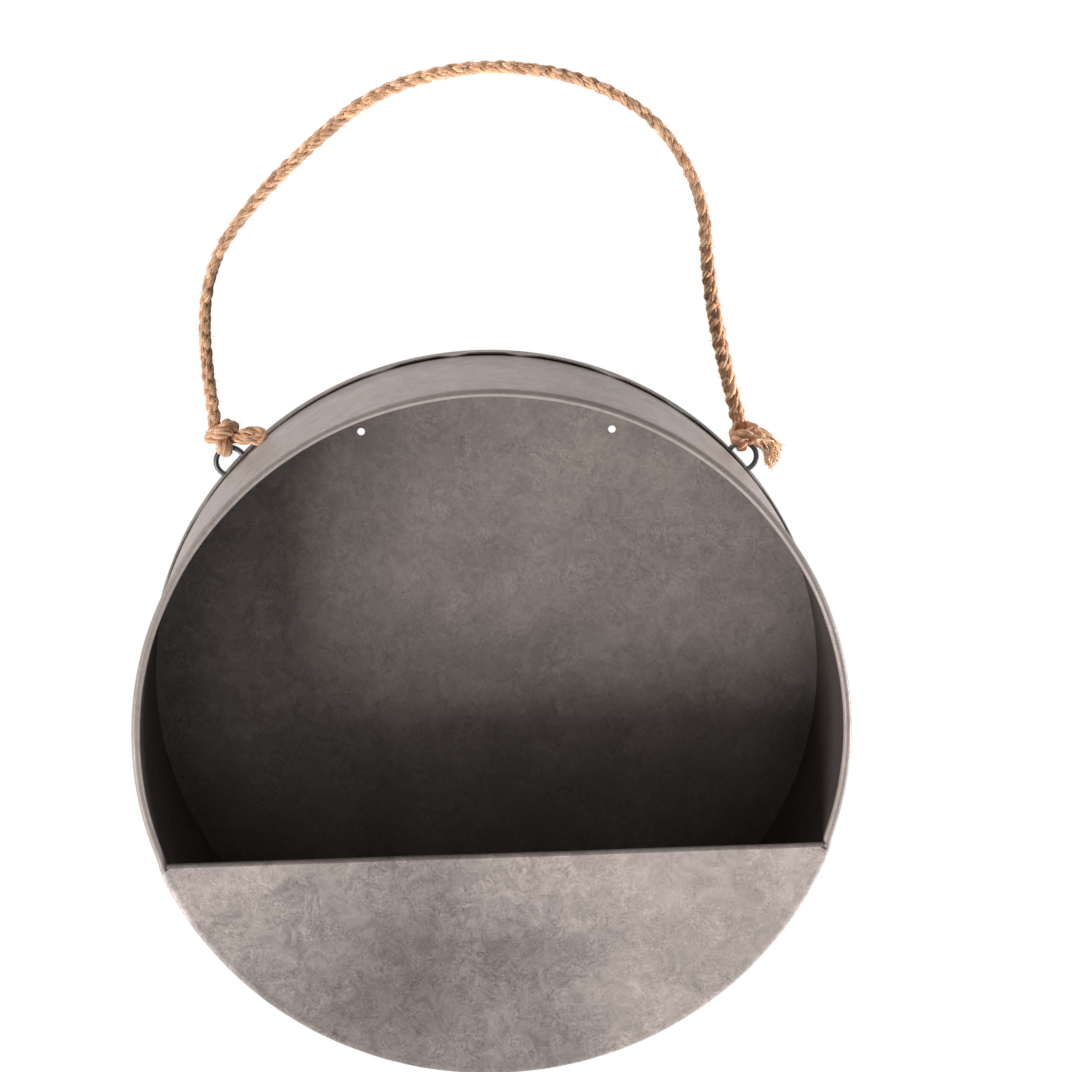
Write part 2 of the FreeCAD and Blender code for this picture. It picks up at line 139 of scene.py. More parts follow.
# How the rope goes on through each knot, in millimetres from the top of its
# wire loop: down, round the wire, up, round itself and out to its tail. The
# fourth number is its girth there, where it is squeezed or swells.
LEFT_KNOT_ROUTE = [
    (-7.8, -0.8, 13.6, 8.0),
    (-5.0, -3.0, 8.4, 8.2),
    (-2.6, -5.2, 3.4, 9.6),
    (-2.0, -5.2, 0.2, 9.2),
    (-1.6, -2.4, -2.0, 5.8),
    (-1.2, 1.8, -3.2, 4.8),
    (-0.6, 4.2, -2.0, 5.2),
    (0.0, 4.4, 2.6, 5.6),
    (1.0, 4.0, 8.0, 6.4),
    (2.6, 1.8, 11.6, 8.4),
    (1.4, -3.0, 13.2, 9.8),
    (-3.0, -6.6, 11.4, 9.8),
    (-7.6, -6.0, 8.8, 9.4),
    (-10.2, -3.0, 7.4, 8.8),
    (-9.2, 2.2, 6.2, 7.4),
    (-4.5, 3.6, 6.0, 7.0),
    (0.8, 1.6, 6.2, 7.4),
    (4.6, -2.4, 6.8, 7.8),
]
# The left tail is folded back, and its end is tucked under the knot.
LEFT_TAIL_ROUTE = [
    (8.0, -3.2, 8.2, 7.0),
    (12.4, -4.2, 9.6, 6.8),
    (16.8, -5.0, 11.0, 6.8),
    (20.0, -6.4, 9.4, 6.4),
    (18.0, -8.4, 6.6, 6.6),
    (13.6, -7.8, 6.6, 6.8),
    (8.6, -5.6, 5.8, 6.2),
    (5.0, -3.6, 5.0, 5.0),
]
RIGHT_KNOT_ROUTE = [
    (-2.2, -0.4, 9.6, 8.6),
    (-2.8, 2.6, 4.4, 6.4),
    (-2.8, 4.4, 0.0, 5.4),
    (-2.4, 3.0, -2.8, 5.0),
    (-1.9, -1.6, -3.2, 5.4),
    (-1.3, -4.8, -1.4, 6.6),
    (0.2, -5.8, 2.8, 7.8),
    (4.4, -4.4, 6.6, 8.8),
    (5.4, 0.4, 8.4, 8.8),
    (0.6, 3.0, 8.6, 7.4),
    (-4.6, 2.8, 6.2, 7.0),
    (-5.8, -0.8, 4.8, 7.8),
    (-4.8, -5.2, 4.2, 8.4),
    (-0.8, -7.2, 5.0, 8.8),
    (3.8, -6.6, 5.6, 9.2),
    (7.6, -5.2, 5.0, 9.2),
    (10.8, -4.6, 3.8, 8.0),
]
# Where the frayed end leaves its knot, in millimetres from the top of the loop,
# where its locks come to, how far each spreads, and its share of the yarns.
RIGHT_LOCKS_ROOT = (7.0, -4.6, 4.8)
RIGHT_LOCKS = [
    ((18.8, -5.0, -3.0), 3.0, 0.36),
    ((17.8, -5.2, -7.6), 2.8, 0.30),
    ((15.4, -4.6, -12.4), 2.4, 0.34),
]


# How many yarns the frayed end has, how many fibres are loose on them, how long
# these are, and how far apart the fibres on the rope's skin are.
LOCK_YARNS = 380
LOCK_FIBRES, LOCK_FIBRE_LENGTH = 170, 4.5 * MM
FUZZ_SPACING = 4.2 * MM
# Loose fibres are this thick, in the locks and on the rope's skin.
LOCK_FIBRE_GIRTH, FUZZ_GIRTH = 0.09 * MM, 0.075 * MM
# A lock's yarns rise by this on their way to its tip, and have this many parts.
LOCK_RISE = (2.4, -0.5, 3.6)
LOCK_STEPS = 12
FIBRE_STEPS = 4
ROPE_SEED = 11
# Nothing of the rope comes nearer to the wall than this.
WALL_GAP = 0.1 * MM
# Spans outwards from the top of each loop, in millimetres, for where a tail goes over from the swinging knot to
# the drum. The rope step loops over them but does nothing with them.
LEFT_TAIL_SPAN, RIGHT_TAIL_SPAN = (4.0, 15.0), (6.0, 15.0)


# ---------------------------------------------------------------- settings

def colour_setting(name, description, shade):
    return FloatVectorProperty(
        name=name, description=description, subtype="COLOR_GAMMA", size=3,
        min=0.0, max=1.0, default=from_hex(shade),
    )


def from_hex(shade):
    return tuple(int(shade[i:i + 2], 16) / 255 for i in (0, 2, 4))


def linear(shade):
    """An sRGB hex value, or an sRGB colour, as the linear colour that shaders take."""
    rgb = from_hex(shade) if isinstance(shade, str) else tuple(shade)
    return tuple(c / 12.92 if c <= 0.04045 else ((c + 0.055) / 1.055) ** 2.4 for c in rgb)


def length_setting(name, description, default, least, most):
    return FloatProperty(
        name=name, description=description, default=default * MM, min=least * MM, max=most * MM,
        subtype="DISTANCE", unit="LENGTH",
    )


class SheetSettings(bpy.types.PropertyGroup):
    outer_colour: colour_setting("Sheet", "Zinc-coated sheet on the outside", "a89c97")
    # Painted shade: the inside and, much more, the inner wall are drawn in darker sheet colours than the outside,
    # for the shade inside the drum.
    inside_painted_shade_colour: colour_setting("Inside", "Darker sheet inside the drum", "9a8f89")
    wall_painted_shade_colour: colour_setting("Inner wall", "Stained sheet of the wall inside the drum", "524944")
    band_colour: colour_setting("Band", "Sheet of the side band, rubbed less", "a39791")
    lip_gap_wave: length_setting(
        "Lip wave", "How far the back lip leans in and out round the drum", 0.55, 0, 2)
    panel_wave: length_setting("Panel wave", "How far the flat sheets are out of true", 0.35, 0, 2)


class RopeSettings(bpy.types.PropertyGroup):
    diameter: length_setting("Rope", "Diameter of the plaited rope", 7, 3, 12)
    fuzz_length: length_setting("Fuzz", "Length of the loose fibres on the rope", 3.2, 0, 8)
    plait_pitch: length_setting(
        "Plait pitch", "Length in which a strand comes back to its place", 27, 8, 80)
    yarns: IntProperty(
        name="Yarns", description="Yarns twisted together in each of the three strands",
        default=3, min=1, max=5,
    )
    jute_colour: colour_setting("Jute", "Middle tone of the jute", "eeb48b")
    fibre_colour: colour_setting("Loose fibre", "Middle tone of the combed-out jute", "f4c8a4")


class StageSettings(bpy.types.PropertyGroup):
    room_light: FloatProperty(
        name="Room light", description="Light that comes evenly from all round",
        default=0.08, min=0.0, max=2.0,
    )
    softbox_power: FloatProperty(
        name="Softbox", description="Power of the low softbox on the left",
        default=182.0, min=0.0, max=500.0, unit="POWER",
    )
    side_power: FloatProperty(
        name="Small lamps", description="Power that the three small lamps share out",
        default=12.0, min=0.0, max=500.0, unit="POWER",
    )


class PlanterSettings(bpy.types.PropertyGroup):
    sheet: PointerProperty(type=SheetSettings)
    rope: PointerProperty(type=RopeSettings)
    stage: PointerProperty(type=StageSettings)


# ---------------------------------------------------------------- nodes and meshes

MATH, VECTOR_MATH = "ShaderNodeMath", "ShaderNodeVectorMath"
NOISE, MAP_RANGE, MIX = "ShaderNodeTexNoise", "ShaderNodeMapRange", "ShaderNodeMix"
PLACE, ATTRIBUTE, BUMP = "ShaderNodeTexCoord", "ShaderNodeAttribute", "ShaderNodeBump"
PRINCIPLED, SURFACE = "ShaderNodeBsdfPrincipled", "ShaderNodeOutputMaterial"
READ, STORE = "GeometryNodeInputNamedAttribute", "GeometryNodeStoreNamedAttribute"
POSITION, COMBINE = "GeometryNodeInputPosition", "ShaderNodeCombineXYZ"
FLOAT, VECTOR, RGBA = ({"data_type": kind} for kind in ("FLOAT", "FLOAT_VECTOR", "RGBA"))
SMOOTH = {"interpolation_type": "SMOOTHSTEP"}


def add_node(tree, kind, settings=None, inputs=()):
    """Add a node, set its options, and link or set its inputs.

    Settings that are one word are the node's operation. Inputs come in order
    or by name, and a node given as an input stands for its first output.
    """
    made = tree.nodes.new(kind)
    made.location = (200 * len(tree.nodes), 0)
    if isinstance(settings, str):
        settings = {"operation": settings}
    for name, value in (settings or {}).items():
        setattr(made, name, value)
    for key, value in inputs.items() if isinstance(inputs, dict) else enumerate(inputs):
        if isinstance(value, bpy.types.Node):
            value = value.outputs[0]
        if isinstance(value, bpy.types.NodeSocket):
            tree.links.new(value, made.inputs[key])
        else:
            made.inputs[key].default_value = value
    return made


def new_material(name):
    """A material without nodes, and the function that adds nodes to it."""
    material = bpy.data.materials.new(name)
    material.use_nodes = True
    material.node_tree.nodes.clear()
    return material, partial(add_node, material.node_tree)


def new_piece(name, mesh, material, *more):
    piece = bpy.data.objects.new(name, mesh)
    bpy.context.scene.collection.objects.link(piece)
    for each in (material, *more):
        if each is not None:
            mesh.materials.append(each)
    return piece


def finished_mesh(piece, name):
    """The piece with its modifiers, as a plain mesh."""
    bpy.context.view_layer.update()
    graph = bpy.context.evaluated_depsgraph_get()
    mesh = bpy.data.meshes.new_from_object(piece.evaluated_get(graph), depsgraph=graph)
    mesh.name = name
    return mesh


def arc(centre, radius, start, end, steps):
    """Points along an arc, with angles in degrees."""
    points = []
    for step in range(steps + 1):
        angle = math.radians(start + (end - start) * step / steps)
        points.append((centre[0] + radius * math.cos(angle), centre[1] + radius * math.sin(angle)))
    return points


def run(start, end, steps):
    """Points from start up to, but not at, end."""
    return [
        (start[0] + (end[0] - start[0]) * step / steps, start[1] + (end[1] - start[1]) * step / steps)
        for step in range(steps)
    ]


def revolve(bm, outline, shift=None, start=0.0, end=360.0, steps=TURN_STEPS):
    """Turn a closed outline of (radius, depth) points about the drum's axis.

    shift(radius, depth, angle) gives the outline's place at that angle.
    """
    whole = end - start >= 360
    rings = []
    for step in range(steps if whole else steps + 1):
        angle = math.radians(start + (end - start) * step / steps)
        ring = []
        for radius, depth in outline:
            r, y = shift(radius, depth, angle) if shift else (radius, depth)
            ring.append(bm.verts.new((r * math.cos(angle), y, r * math.sin(angle))))
        rings.append(ring)
    bridge_rings(bm, rings, whole)


def bridge_rings(bm, rings, closed=False):
    """Join each ring of vertices to the next; closed joins the ends too, or else they get caps."""
    for here, there in zip(rings, rings[1:] + rings[:1] if closed else rings[1:]):
        for k in range(len(here)):
            j = (k + 1) % len(here)
            bm.faces.new((here[k], here[j], there[j], there[k]))
    if not closed:
        bm.faces.new(rings[0])
        bm.faces.new(rings[-1][::-1])


def set_attribute(mesh, label, values):
    """Give each vertex of the mesh its number, or its vector, in an attribute."""
    if isinstance(values[0], Vector):
        entries = mesh.attributes.new(label, "FLOAT_VECTOR", "POINT").data
        entries.foreach_set("vector", [number for vector in values for number in vector])
    else:
        mesh.attributes.new(label, "FLOAT", "POINT").data.foreach_set("value", values)


def close_mesh(bm, name, sharp=40.0):
    """Merge doubles, point the faces outwards and finish the mesh."""
    bmesh.ops.remove_doubles(bm, verts=bm.verts, dist=1e-6)
    bmesh.ops.dissolve_degenerate(bm, dist=1e-7, edges=bm.edges)
    bmesh.ops.recalc_face_normals(bm, faces=bm.faces)
    mesh = bpy.data.meshes.new(name)
    bm.to_mesh(mesh)
    bm.free()
    mesh.shade_smooth()
    mesh.set_sharp_from_angle(angle=math.radians(sharp))
    return mesh


# ---------------------------------------------------------------- materials

def galvanised_sheet(name, shade, contrast=1.0, painted_shade_centre=None):
    """Hot-dip galvanised steel sheet, rubbed down and dulled by its oxide.

    The oxide takes most of the mirror away: a soft warm grey with cloudy
    patches, raised pale curls, fine crumbs and a dull metal sheen. Each
    vertex's painted light and shade value draws the sheet paler or darker:
    painted highlight and painted shade. Where a centre of painted shade is
    given, painted light and shade run across the sheet: it is drawn darker
    near that centre and paler far from it, with stronger mottle near it.
    """
    material, node = new_material(name)
    place = node(PLACE).outputs["Object"]

    def about_one(value, low, high, share):
        """1 - share where the value is low, and 1 + share where it is high."""
        share *= contrast
        return node(MAP_RANGE, SMOOTH, (value, low, high, 1 - share, 1 + share))

    def ridges(size, width, seed):
        """Thin curled lines, 1 on the line and 0 beside it."""
        shifted = node(VECTOR_MATH, "ADD", (place, (seed, seed, seed)))
        height = node(NOISE, None, {
            "Vector": shifted, "Scale": 1 / size, "Detail": 3.0, "Roughness": 0.55,
            "Distortion": 1.8})
        away = node(MATH, "SUBTRACT", (height, 0.5))
        away = node(MATH, "ABSOLUTE", (away,))
        line = node(MAP_RANGE, SMOOTH, (away, 0.0, width, 1.0, 0.0))
        return node(MATH, "MULTIPLY", (line, where))

    # Each layer's size in mm, detail, roughness and swirl.
    patches, mottle, crumbs, clumps, spots = (
        node(NOISE, None, {
            "Vector": place, "Scale": 1 / (size * MM), "Detail": detail,
            "Roughness": roughness, "Distortion": swirl})
        for size, detail, roughness, swirl in (
            (52, 2.0, 0.5, 0.0), (15, 8.0, 0.7, 1.6), (1.5, 3.0, 0.6, 0.0),
            (11, 3.0, 0.6, 0.8), (24, 2.0, 0.5, 0.0)))
    where = node(MAP_RANGE, SMOOTH, (spots, 0.44, 0.62, 0.05, 1.0))
    light_line = ridges(18 * MM, 0.075, 0.0)
    dark_line = ridges(15 * MM, 0.06, 0.7)

    tone = node(MATH, "MULTIPLY", (
        about_one(patches, 0.34, 0.66, 0.09), about_one(mottle, 0.33, 0.67, 0.12)))
    gritty = node(MAP_RANGE, SMOOTH, (clumps, 0.38, 0.62, 0.2 * contrast, contrast))
    grain = node(MATH, "SUBTRACT", (crumbs, 0.5))
    tone = node(MATH, "MULTIPLY_ADD", (grain, gritty, tone))
    tone = node(MATH, "MULTIPLY_ADD", (light_line, 0.13 * contrast, tone))
    tone = node(MATH, "MULTIPLY_ADD", (dark_line, -0.10 * contrast, tone))
    # Painted light and shade: darker near the given centre, paler far from it.
    if painted_shade_centre:
        gone = node(VECTOR_MATH, "DISTANCE", (place, painted_shade_centre)).outputs["Value"]
        share = node(MAP_RANGE, SMOOTH, (gone, 60 * MM, 200 * MM, 1.1, 0.75))
        tone = node(MATH, "SUBTRACT", (tone, 1.0))
        tone = node(MATH, "MULTIPLY_ADD", (tone, share, 1.0))
        gain = node(MAP_RANGE, SMOOTH, (gone, 30 * MM, 200 * MM, 0.68, 1.52))
        tone = node(MATH, "MULTIPLY", (tone, gain))
    # Painted light: the painted light and shade value of each vertex draws the sheet paler or darker there.
    painted_gain = node(ATTRIBUTE, {"attribute_name": "rub"}).outputs["Fac"]
    painted_gain = node(MATH, "ADD", (painted_gain, 1.0))
    tone = node(MATH, "MULTIPLY", (tone, painted_gain))
    colour = node(VECTOR_MATH, "SCALE", {0: linear(shade), "Scale": tone})
    rise = node(MATH, "MULTIPLY_ADD", (mottle, 2.0, crumbs))
    rise = node(MATH, "MULTIPLY_ADD", (light_line, 1.2, rise))
    rise = node(MATH, "MULTIPLY_ADD", (dark_line, -0.8, rise))
    bump = node(BUMP, None, {"Strength": 0.35, "Distance": 0.2 * MM, "Height": rise})
    rough = node(MAP_RANGE, SMOOTH, (mottle, 0.3, 0.7, 0.56, 0.42))
    shader = node(PRINCIPLED, None, {
        "Base Color": colour, "Metallic": 0.12, "Specular IOR Level": 0.2,
        "Roughness": rough, "Normal": bump})
    node(SURFACE, None, {"Surface": shader})
    return material


def drawn_wire():
    """Drawn steel wire, darkened by a dip: near-black grey with a soft shine."""
    material, node = new_material("drawn_steel_wire")
    marks = node(NOISE, None, {
        "Vector": node(PLACE).outputs["Object"], "Scale": 1 / (2.5 * MM),
        "Detail": 4.0, "Roughness": 0.6})
    colour = node(MIX, RGBA, {
        0: marks, 6: (*linear("3b3c3a"), 1), 7: (*linear("6e7070"), 1)})
    bump = node(BUMP, None, {"Strength": 0.2, "Distance": 0.05 * MM, "Height": marks})
    shader = node(PRINCIPLED, None, {
        "Base Color": colour.outputs[2], "Metallic": 1.0, "Roughness": 0.42, "Normal": bump})
    node(SURFACE, None, {"Surface": shader})
    return material


def jute(name, shade, pale=0.0, crevice_shade=False):
    """Natural jute yarn: matt tan bast fibre with long streaks, and, where asked, painted shade in the crevices
    between the yarns.
    """
    material, node = new_material(name)
    fibre = node(ATTRIBUTE, {"attribute_name": "fibre"}).outputs["Vector"]
    # Single fibres are about 0.1 mm wide, drawn here as bundles of 0.5 mm.
    along = node("ShaderNodeMapping", None, {
        "Vector": fibre, "Scale": (1 / (0.5 * MM), 1 / (0.5 * MM), 1 / (11 * MM))})
    streaks = node(NOISE, None, {
        "Vector": along, "Scale": 1.0, "Detail": 4.0, "Roughness": 0.6, "Distortion": 0.3})
    patches = node(NOISE, None, {
        "Vector": node(PLACE).outputs["Object"], "Scale": 1 / (9 * MM),
        "Detail": 2.0, "Roughness": 0.5})
    base = linear(shade)
    dark = [c * share for c, share in zip(base, (0.44, 0.33, 0.26))]
    light = [min(1.0, c * share) for c, share in zip(base, (1.38, 1.42, 1.58))]
    mixing = node(MAP_RANGE, None, (streaks, 0.34, 0.66))
    colour = node(MIX, RGBA, {0: mixing, 6: (*dark, 1), 7: (*light, 1)})

    warm = node(MAP_RANGE, None, (patches, 0.3, 0.7, 0.82 + pale, 1.16 + pale))
    tone = node(ATTRIBUTE, {"attribute_name": "tone"}).outputs["Fac"]
    yarn = node(MAP_RANGE, None, (tone, 0.0, 1.0, 0.82, 1.14))
    level = node(MATH, "MULTIPLY", (warm, yarn))
    # Painted light: the jute is drawn paler by its painted lift.
    bleach = node(ATTRIBUTE, {"attribute_name": "bleach"}).outputs["Fac"]
    bleach = node(MATH, "ADD", (bleach, 1.0))
    level = node(MATH, "MULTIPLY", (level, bleach))
    if crevice_shade:
        # Painted shade: the yarns are drawn darker where their skin lies deep in the rope, in the crevices between
        # them.
        depth = node(ATTRIBUTE, {"attribute_name": "depth"}).outputs["Fac"]
        hollow = node(MAP_RANGE, SMOOTH, (depth, 0.2, 0.44, 0.82, 1.04))
        level = node(MATH, "MULTIPLY", (level, hollow))
    shaded = node(VECTOR_MATH, "SCALE", {0: colour.outputs[2], "Scale": level})
    bump = node(BUMP, None, {"Strength": 0.7, "Distance": 0.15 * MM, "Height": streaks})
    shader = node(PRINCIPLED, None, {
        "Base Color": shaded, "Roughness": 0.85, "Sheen Weight": 0.35, "Sheen Roughness": 0.5,
        "Specular IOR Level": 0.25, "Normal": bump})
    node(SURFACE, None, {"Surface": shader})
    return material


# ---------------------------------------------------------------- sheet metal

# Where the back lip touches the band, in degrees round the drum from +X. The
# upper ones show; the others are as uneven.
LIP_TOUCHES = [
    8, 24, 37.5, 56.7, 69, 84.5, 95.4, 107.3, 129, 147, 161, 176, 191, 203, 222, 236, 249,
    268, 283, 297, 316, 331, 345,
]


def lip_wave(angle):
    """0 where the lip touches the band, 1 halfway between two touches."""
    turn = math.degrees(angle) % 360
    stops = [LIP_TOUCHES[-1] - 360] + LIP_TOUCHES + [LIP_TOUCHES[0] + 360]
    for before, after in zip(stops, stops[1:]):
        if before <= turn <= after:
            share = (turn - before) / (after - before)
            return min(1.0, 1.7 * math.sin(math.pi * share) ** 1.2)
    return 1.0


def waviness(x, z, seed, size):
    return noise.noise(Vector((x / size, seed, z / size)))


def cut_discs(piece, places, radius, y0, y1):
    """Cut round holes along Y through the piece."""
    bm = bmesh.new()
    for x, z in places:
        matrix = Matrix.Translation((x, (y0 + y1) / 2, z)) @ Matrix.Rotation(math.pi / 2, 4, "X")
        bmesh.ops.create_cone(
            bm, cap_ends=True, segments=48, radius1=radius, radius2=radius,
            depth=abs(y1 - y0), matrix=matrix,
        )
    mesh = bpy.data.meshes.new("screw_hole_cutters")
    bm.to_mesh(mesh)
    bm.free()
    cutters = new_piece("screw_hole_cutters", mesh, None)
    modifier = piece.modifiers.new("screw_holes", "BOOLEAN")
    modifier.object = cutters
    modifier.operation = "DIFFERENCE"
    result = finished_mesh(piece, piece.data.name)
    piece.modifiers.clear()
    piece.data = result
    bpy.data.objects.remove(cutters)


def clamp(value):
    return max(0.0, min(1.0, value))


def plate_painted_shade(spot):
    """Painted shade on the plate: its lip is drawn darker, least at the top, and its face darker towards the rim,
    least at the top.
    """
    reach = max(1 * MM, math.hypot(spot.x, spot.z))
    upper = max(0.0, spot.z / reach)
    if reach > LIP_OUTER - SHEET - 0.5 * MM:
        # Painted shade on the lip, least at the top.
        return 0.3 * upper ** 4 - 0.35
    # Painted shade on the face, from 150 mm out to the rim, least at the top.
    return -0.5 * clamp((reach - 150 * MM) / (45 * MM)) ** 1.5 * (1 - upper)


class WALLPLANTER_OT_back_plate(bpy.types.Operator):
    """Back plate with its uneven turned lip and two screw holes"""

    bl_idname = "wall_planter.back_plate"
    bl_label = "Back plate"

    def execute(self, context):
        settings = context.scene.wall_planter.sheet
        lip_inner = LIP_OUTER - SHEET
        flat_edge = LIP_OUTER - LIP_BEND
        outline = run((0.0, -SHEET), (flat_edge, -SHEET), 24)
        outline += arc((flat_edge, -LIP_BEND), LIP_BEND - SHEET, 90, 0, 4)
        outline += run((lip_inner, -LIP_BEND), (lip_inner, -LIP_DEPTH), 6)[1:]
        outline += [(lip_inner, -LIP_DEPTH)]
        outline += run((LIP_OUTER, -LIP_DEPTH), (LIP_OUTER, -LIP_BEND), 6)
        outline += arc((flat_edge, -LIP_BEND), LIP_BEND, 0, 90, 6)
        outline += [(0.0, 0.0)]
        touching = lip_inner - BAND_OUTER - 0.02 * MM

        def shift(radius, depth, angle):
            share = max(0.0, (-depth - LIP_BEND) / (LIP_DEPTH - LIP_BEND))
            # The lip gapes most at the top.
            wave = lip_wave(angle) * (0.35 + 0.65 * max(0.0, math.sin(angle)) ** 4)
            lean = -touching + (touching + settings.lip_gap_wave) * wave
            return radius + lean * share ** 0.8, depth

        bm = bmesh.new()
        revolve(bm, outline, shift)
        mesh = close_mesh(bm, "back_plate_sheet")
        piece = new_piece("back_plate_sheet", mesh, None)
        half = SCREW["dims"]["spacing_x_mm"] * MM / 2
        height = SCREW["pos_m"][2]
        radius = SCREW["dims"]["hole_r_mm"] * MM
        cut_discs(piece, [(-half, height), (half, height)], radius, -3 * SHEET, 2 * SHEET)
        # Painted shade on the plate's lip and towards its rim, on top of its darker inside colour, which is
        # painted shade too.
        set_attribute(piece.data, "rub", [plate_painted_shade(v.co) for v in piece.data.vertices])
        piece.data.materials.append(galvanised_sheet("galvanised_back_shaded", settings.inside_painted_shade_colour))
        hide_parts("back_plate")
        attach(piece, "drum")
        return {"FINISHED"}


def band_painted_light(spot):
    """Painted light on the band: a painted highlight on the lower front of its bead, painted shade along the
    bead's top, both fading downwards round the drum, the lower bead drawn paler, and painted shade on the inside
    wall that deepens towards the back.
    """
    reach = math.hypot(spot.x, spot.z)
    out, ahead = reach - BEAD_CENTRE[0], BEAD_CENTRE[1] - spot.y
    upper = max(0.0, spot.z / BEAD_OUTER) ** 0.5
    if math.hypot(out, ahead) > BEAD_RADIUS + 0.5 * MM:
        if reach > BAND_OUTER - SHEET / 2:
            return 0.0
        # Painted shade on the inside wall, darker towards the back.
        return -0.55 * max(0.0, 1 + spot.y / (125 * MM))
    turn = math.degrees(math.atan2(out, ahead))
    # Painted highlight on the lower front of the bead and painted shade along its top; lower down the bead is
    # drawn paler instead.
    rubbed = clamp((-6 - turn) / 8)
    bead_top_shade = clamp(min((turn + 12) / 8, (64 - turn) / 14))
    return (0.24 * rubbed - 0.26 * bead_top_shade) * upper + 0.12 * (1 - upper)


class WALLPLANTER_OT_side_band(bpy.types.Operator):
    """Rolled side band with its wired rim bead and lap seam"""

    bl_idname = "wall_planter.side_band"
    bl_label = "Side band"

    def execute(self, context):
        settings = context.scene.wall_planter.sheet
        hollow = BEAD_RADIUS - SHEET
        front = BEAD_CENTRE[1]
        outline = run((BAND_INNER, -SHEET), (BAND_INNER, front), 28)
        outline += arc(BEAD_CENTRE, BEAD_RADIUS, 180, 180 + BEAD_CURL, 40)
        outline += arc(BEAD_CENTRE, hollow, 180 + BEAD_CURL, 180, 26)
        outline += run((BAND_OUTER, front), (BAND_OUTER, -SHEET), 28)[1:]
        outline += [(BAND_OUTER, -SHEET)]

        def shift(radius, depth, angle):
            # Short dents and broad waves, which fade out towards both edges.
            reach = BAND_OUTER * angle
            wave = noise.noise(Vector((reach / 0.07, depth / 0.017, 3.1)))
            wave += 0.6 * noise.noise(Vector((reach / 0.16, depth / 0.05, 7.7)))
            fade = clamp(min(-depth - 12 * MM, depth - front) / (15 * MM))
            # The bead is a little uneven.
            bead = noise.noise(Vector((reach / 0.035, 1.7, 5.2))) * 0.22 * MM
            turn = math.degrees(angle)
            away = min(abs((turn - end + 180) % 360 - 180) for end in BEAD_ENDS)
            bead += BEAD_BULGE * math.exp(-(away / BEAD_BULGE_TURN) ** 2)
            share = clamp(1 + (front - depth) / (4 * MM))
            return radius + wave * fade * settings.panel_wave * 0.8 + bead * share, depth

        bm = bmesh.new()
        revolve(bm, outline, shift)
        lap = [
            (BAND_OUTER - SHEET / 2, front + BEAD_RADIUS + 2 * MM),
            (BAND_OUTER + SHEET, front + BEAD_RADIUS + 2 * MM),
            (BAND_OUTER + SHEET, -LIP_DEPTH - 2 * MM),
            (BAND_OUTER - SHEET / 2, -LIP_DEPTH - 2 * MM),
        ]
        revolve(bm, lap, None, *SEAM, 16)
        mesh = close_mesh(bm, "side_band_sheet")
        # Painted shade: the inside wall gets a much darker sheet colour, and the painted light and shade values
        # add a highlight and shade on the bead and shade deeper inside.
        outer = galvanised_sheet("galvanised_band_lit_and_shaded", settings.band_colour, 0.5)
        inner = galvanised_sheet("galvanised_wall_shaded", settings.wall_painted_shade_colour)
        piece = new_piece("side_band_sheet", mesh, outer, inner)
        set_attribute(mesh, "rub", [band_painted_light(v.co) for v in mesh.vertices])
        for face in mesh.polygons:
            spot = face.center
            inwards = face.normal.x * spot.x + face.normal.z * spot.z < 0
            if inwards and math.hypot(spot.x, spot.z) < BAND_OUTER - SHEET / 2 and spot.y > front:
                face.material_index = 1
        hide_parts("side_band")
        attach(piece, "drum")
        return {"FINISHED"}


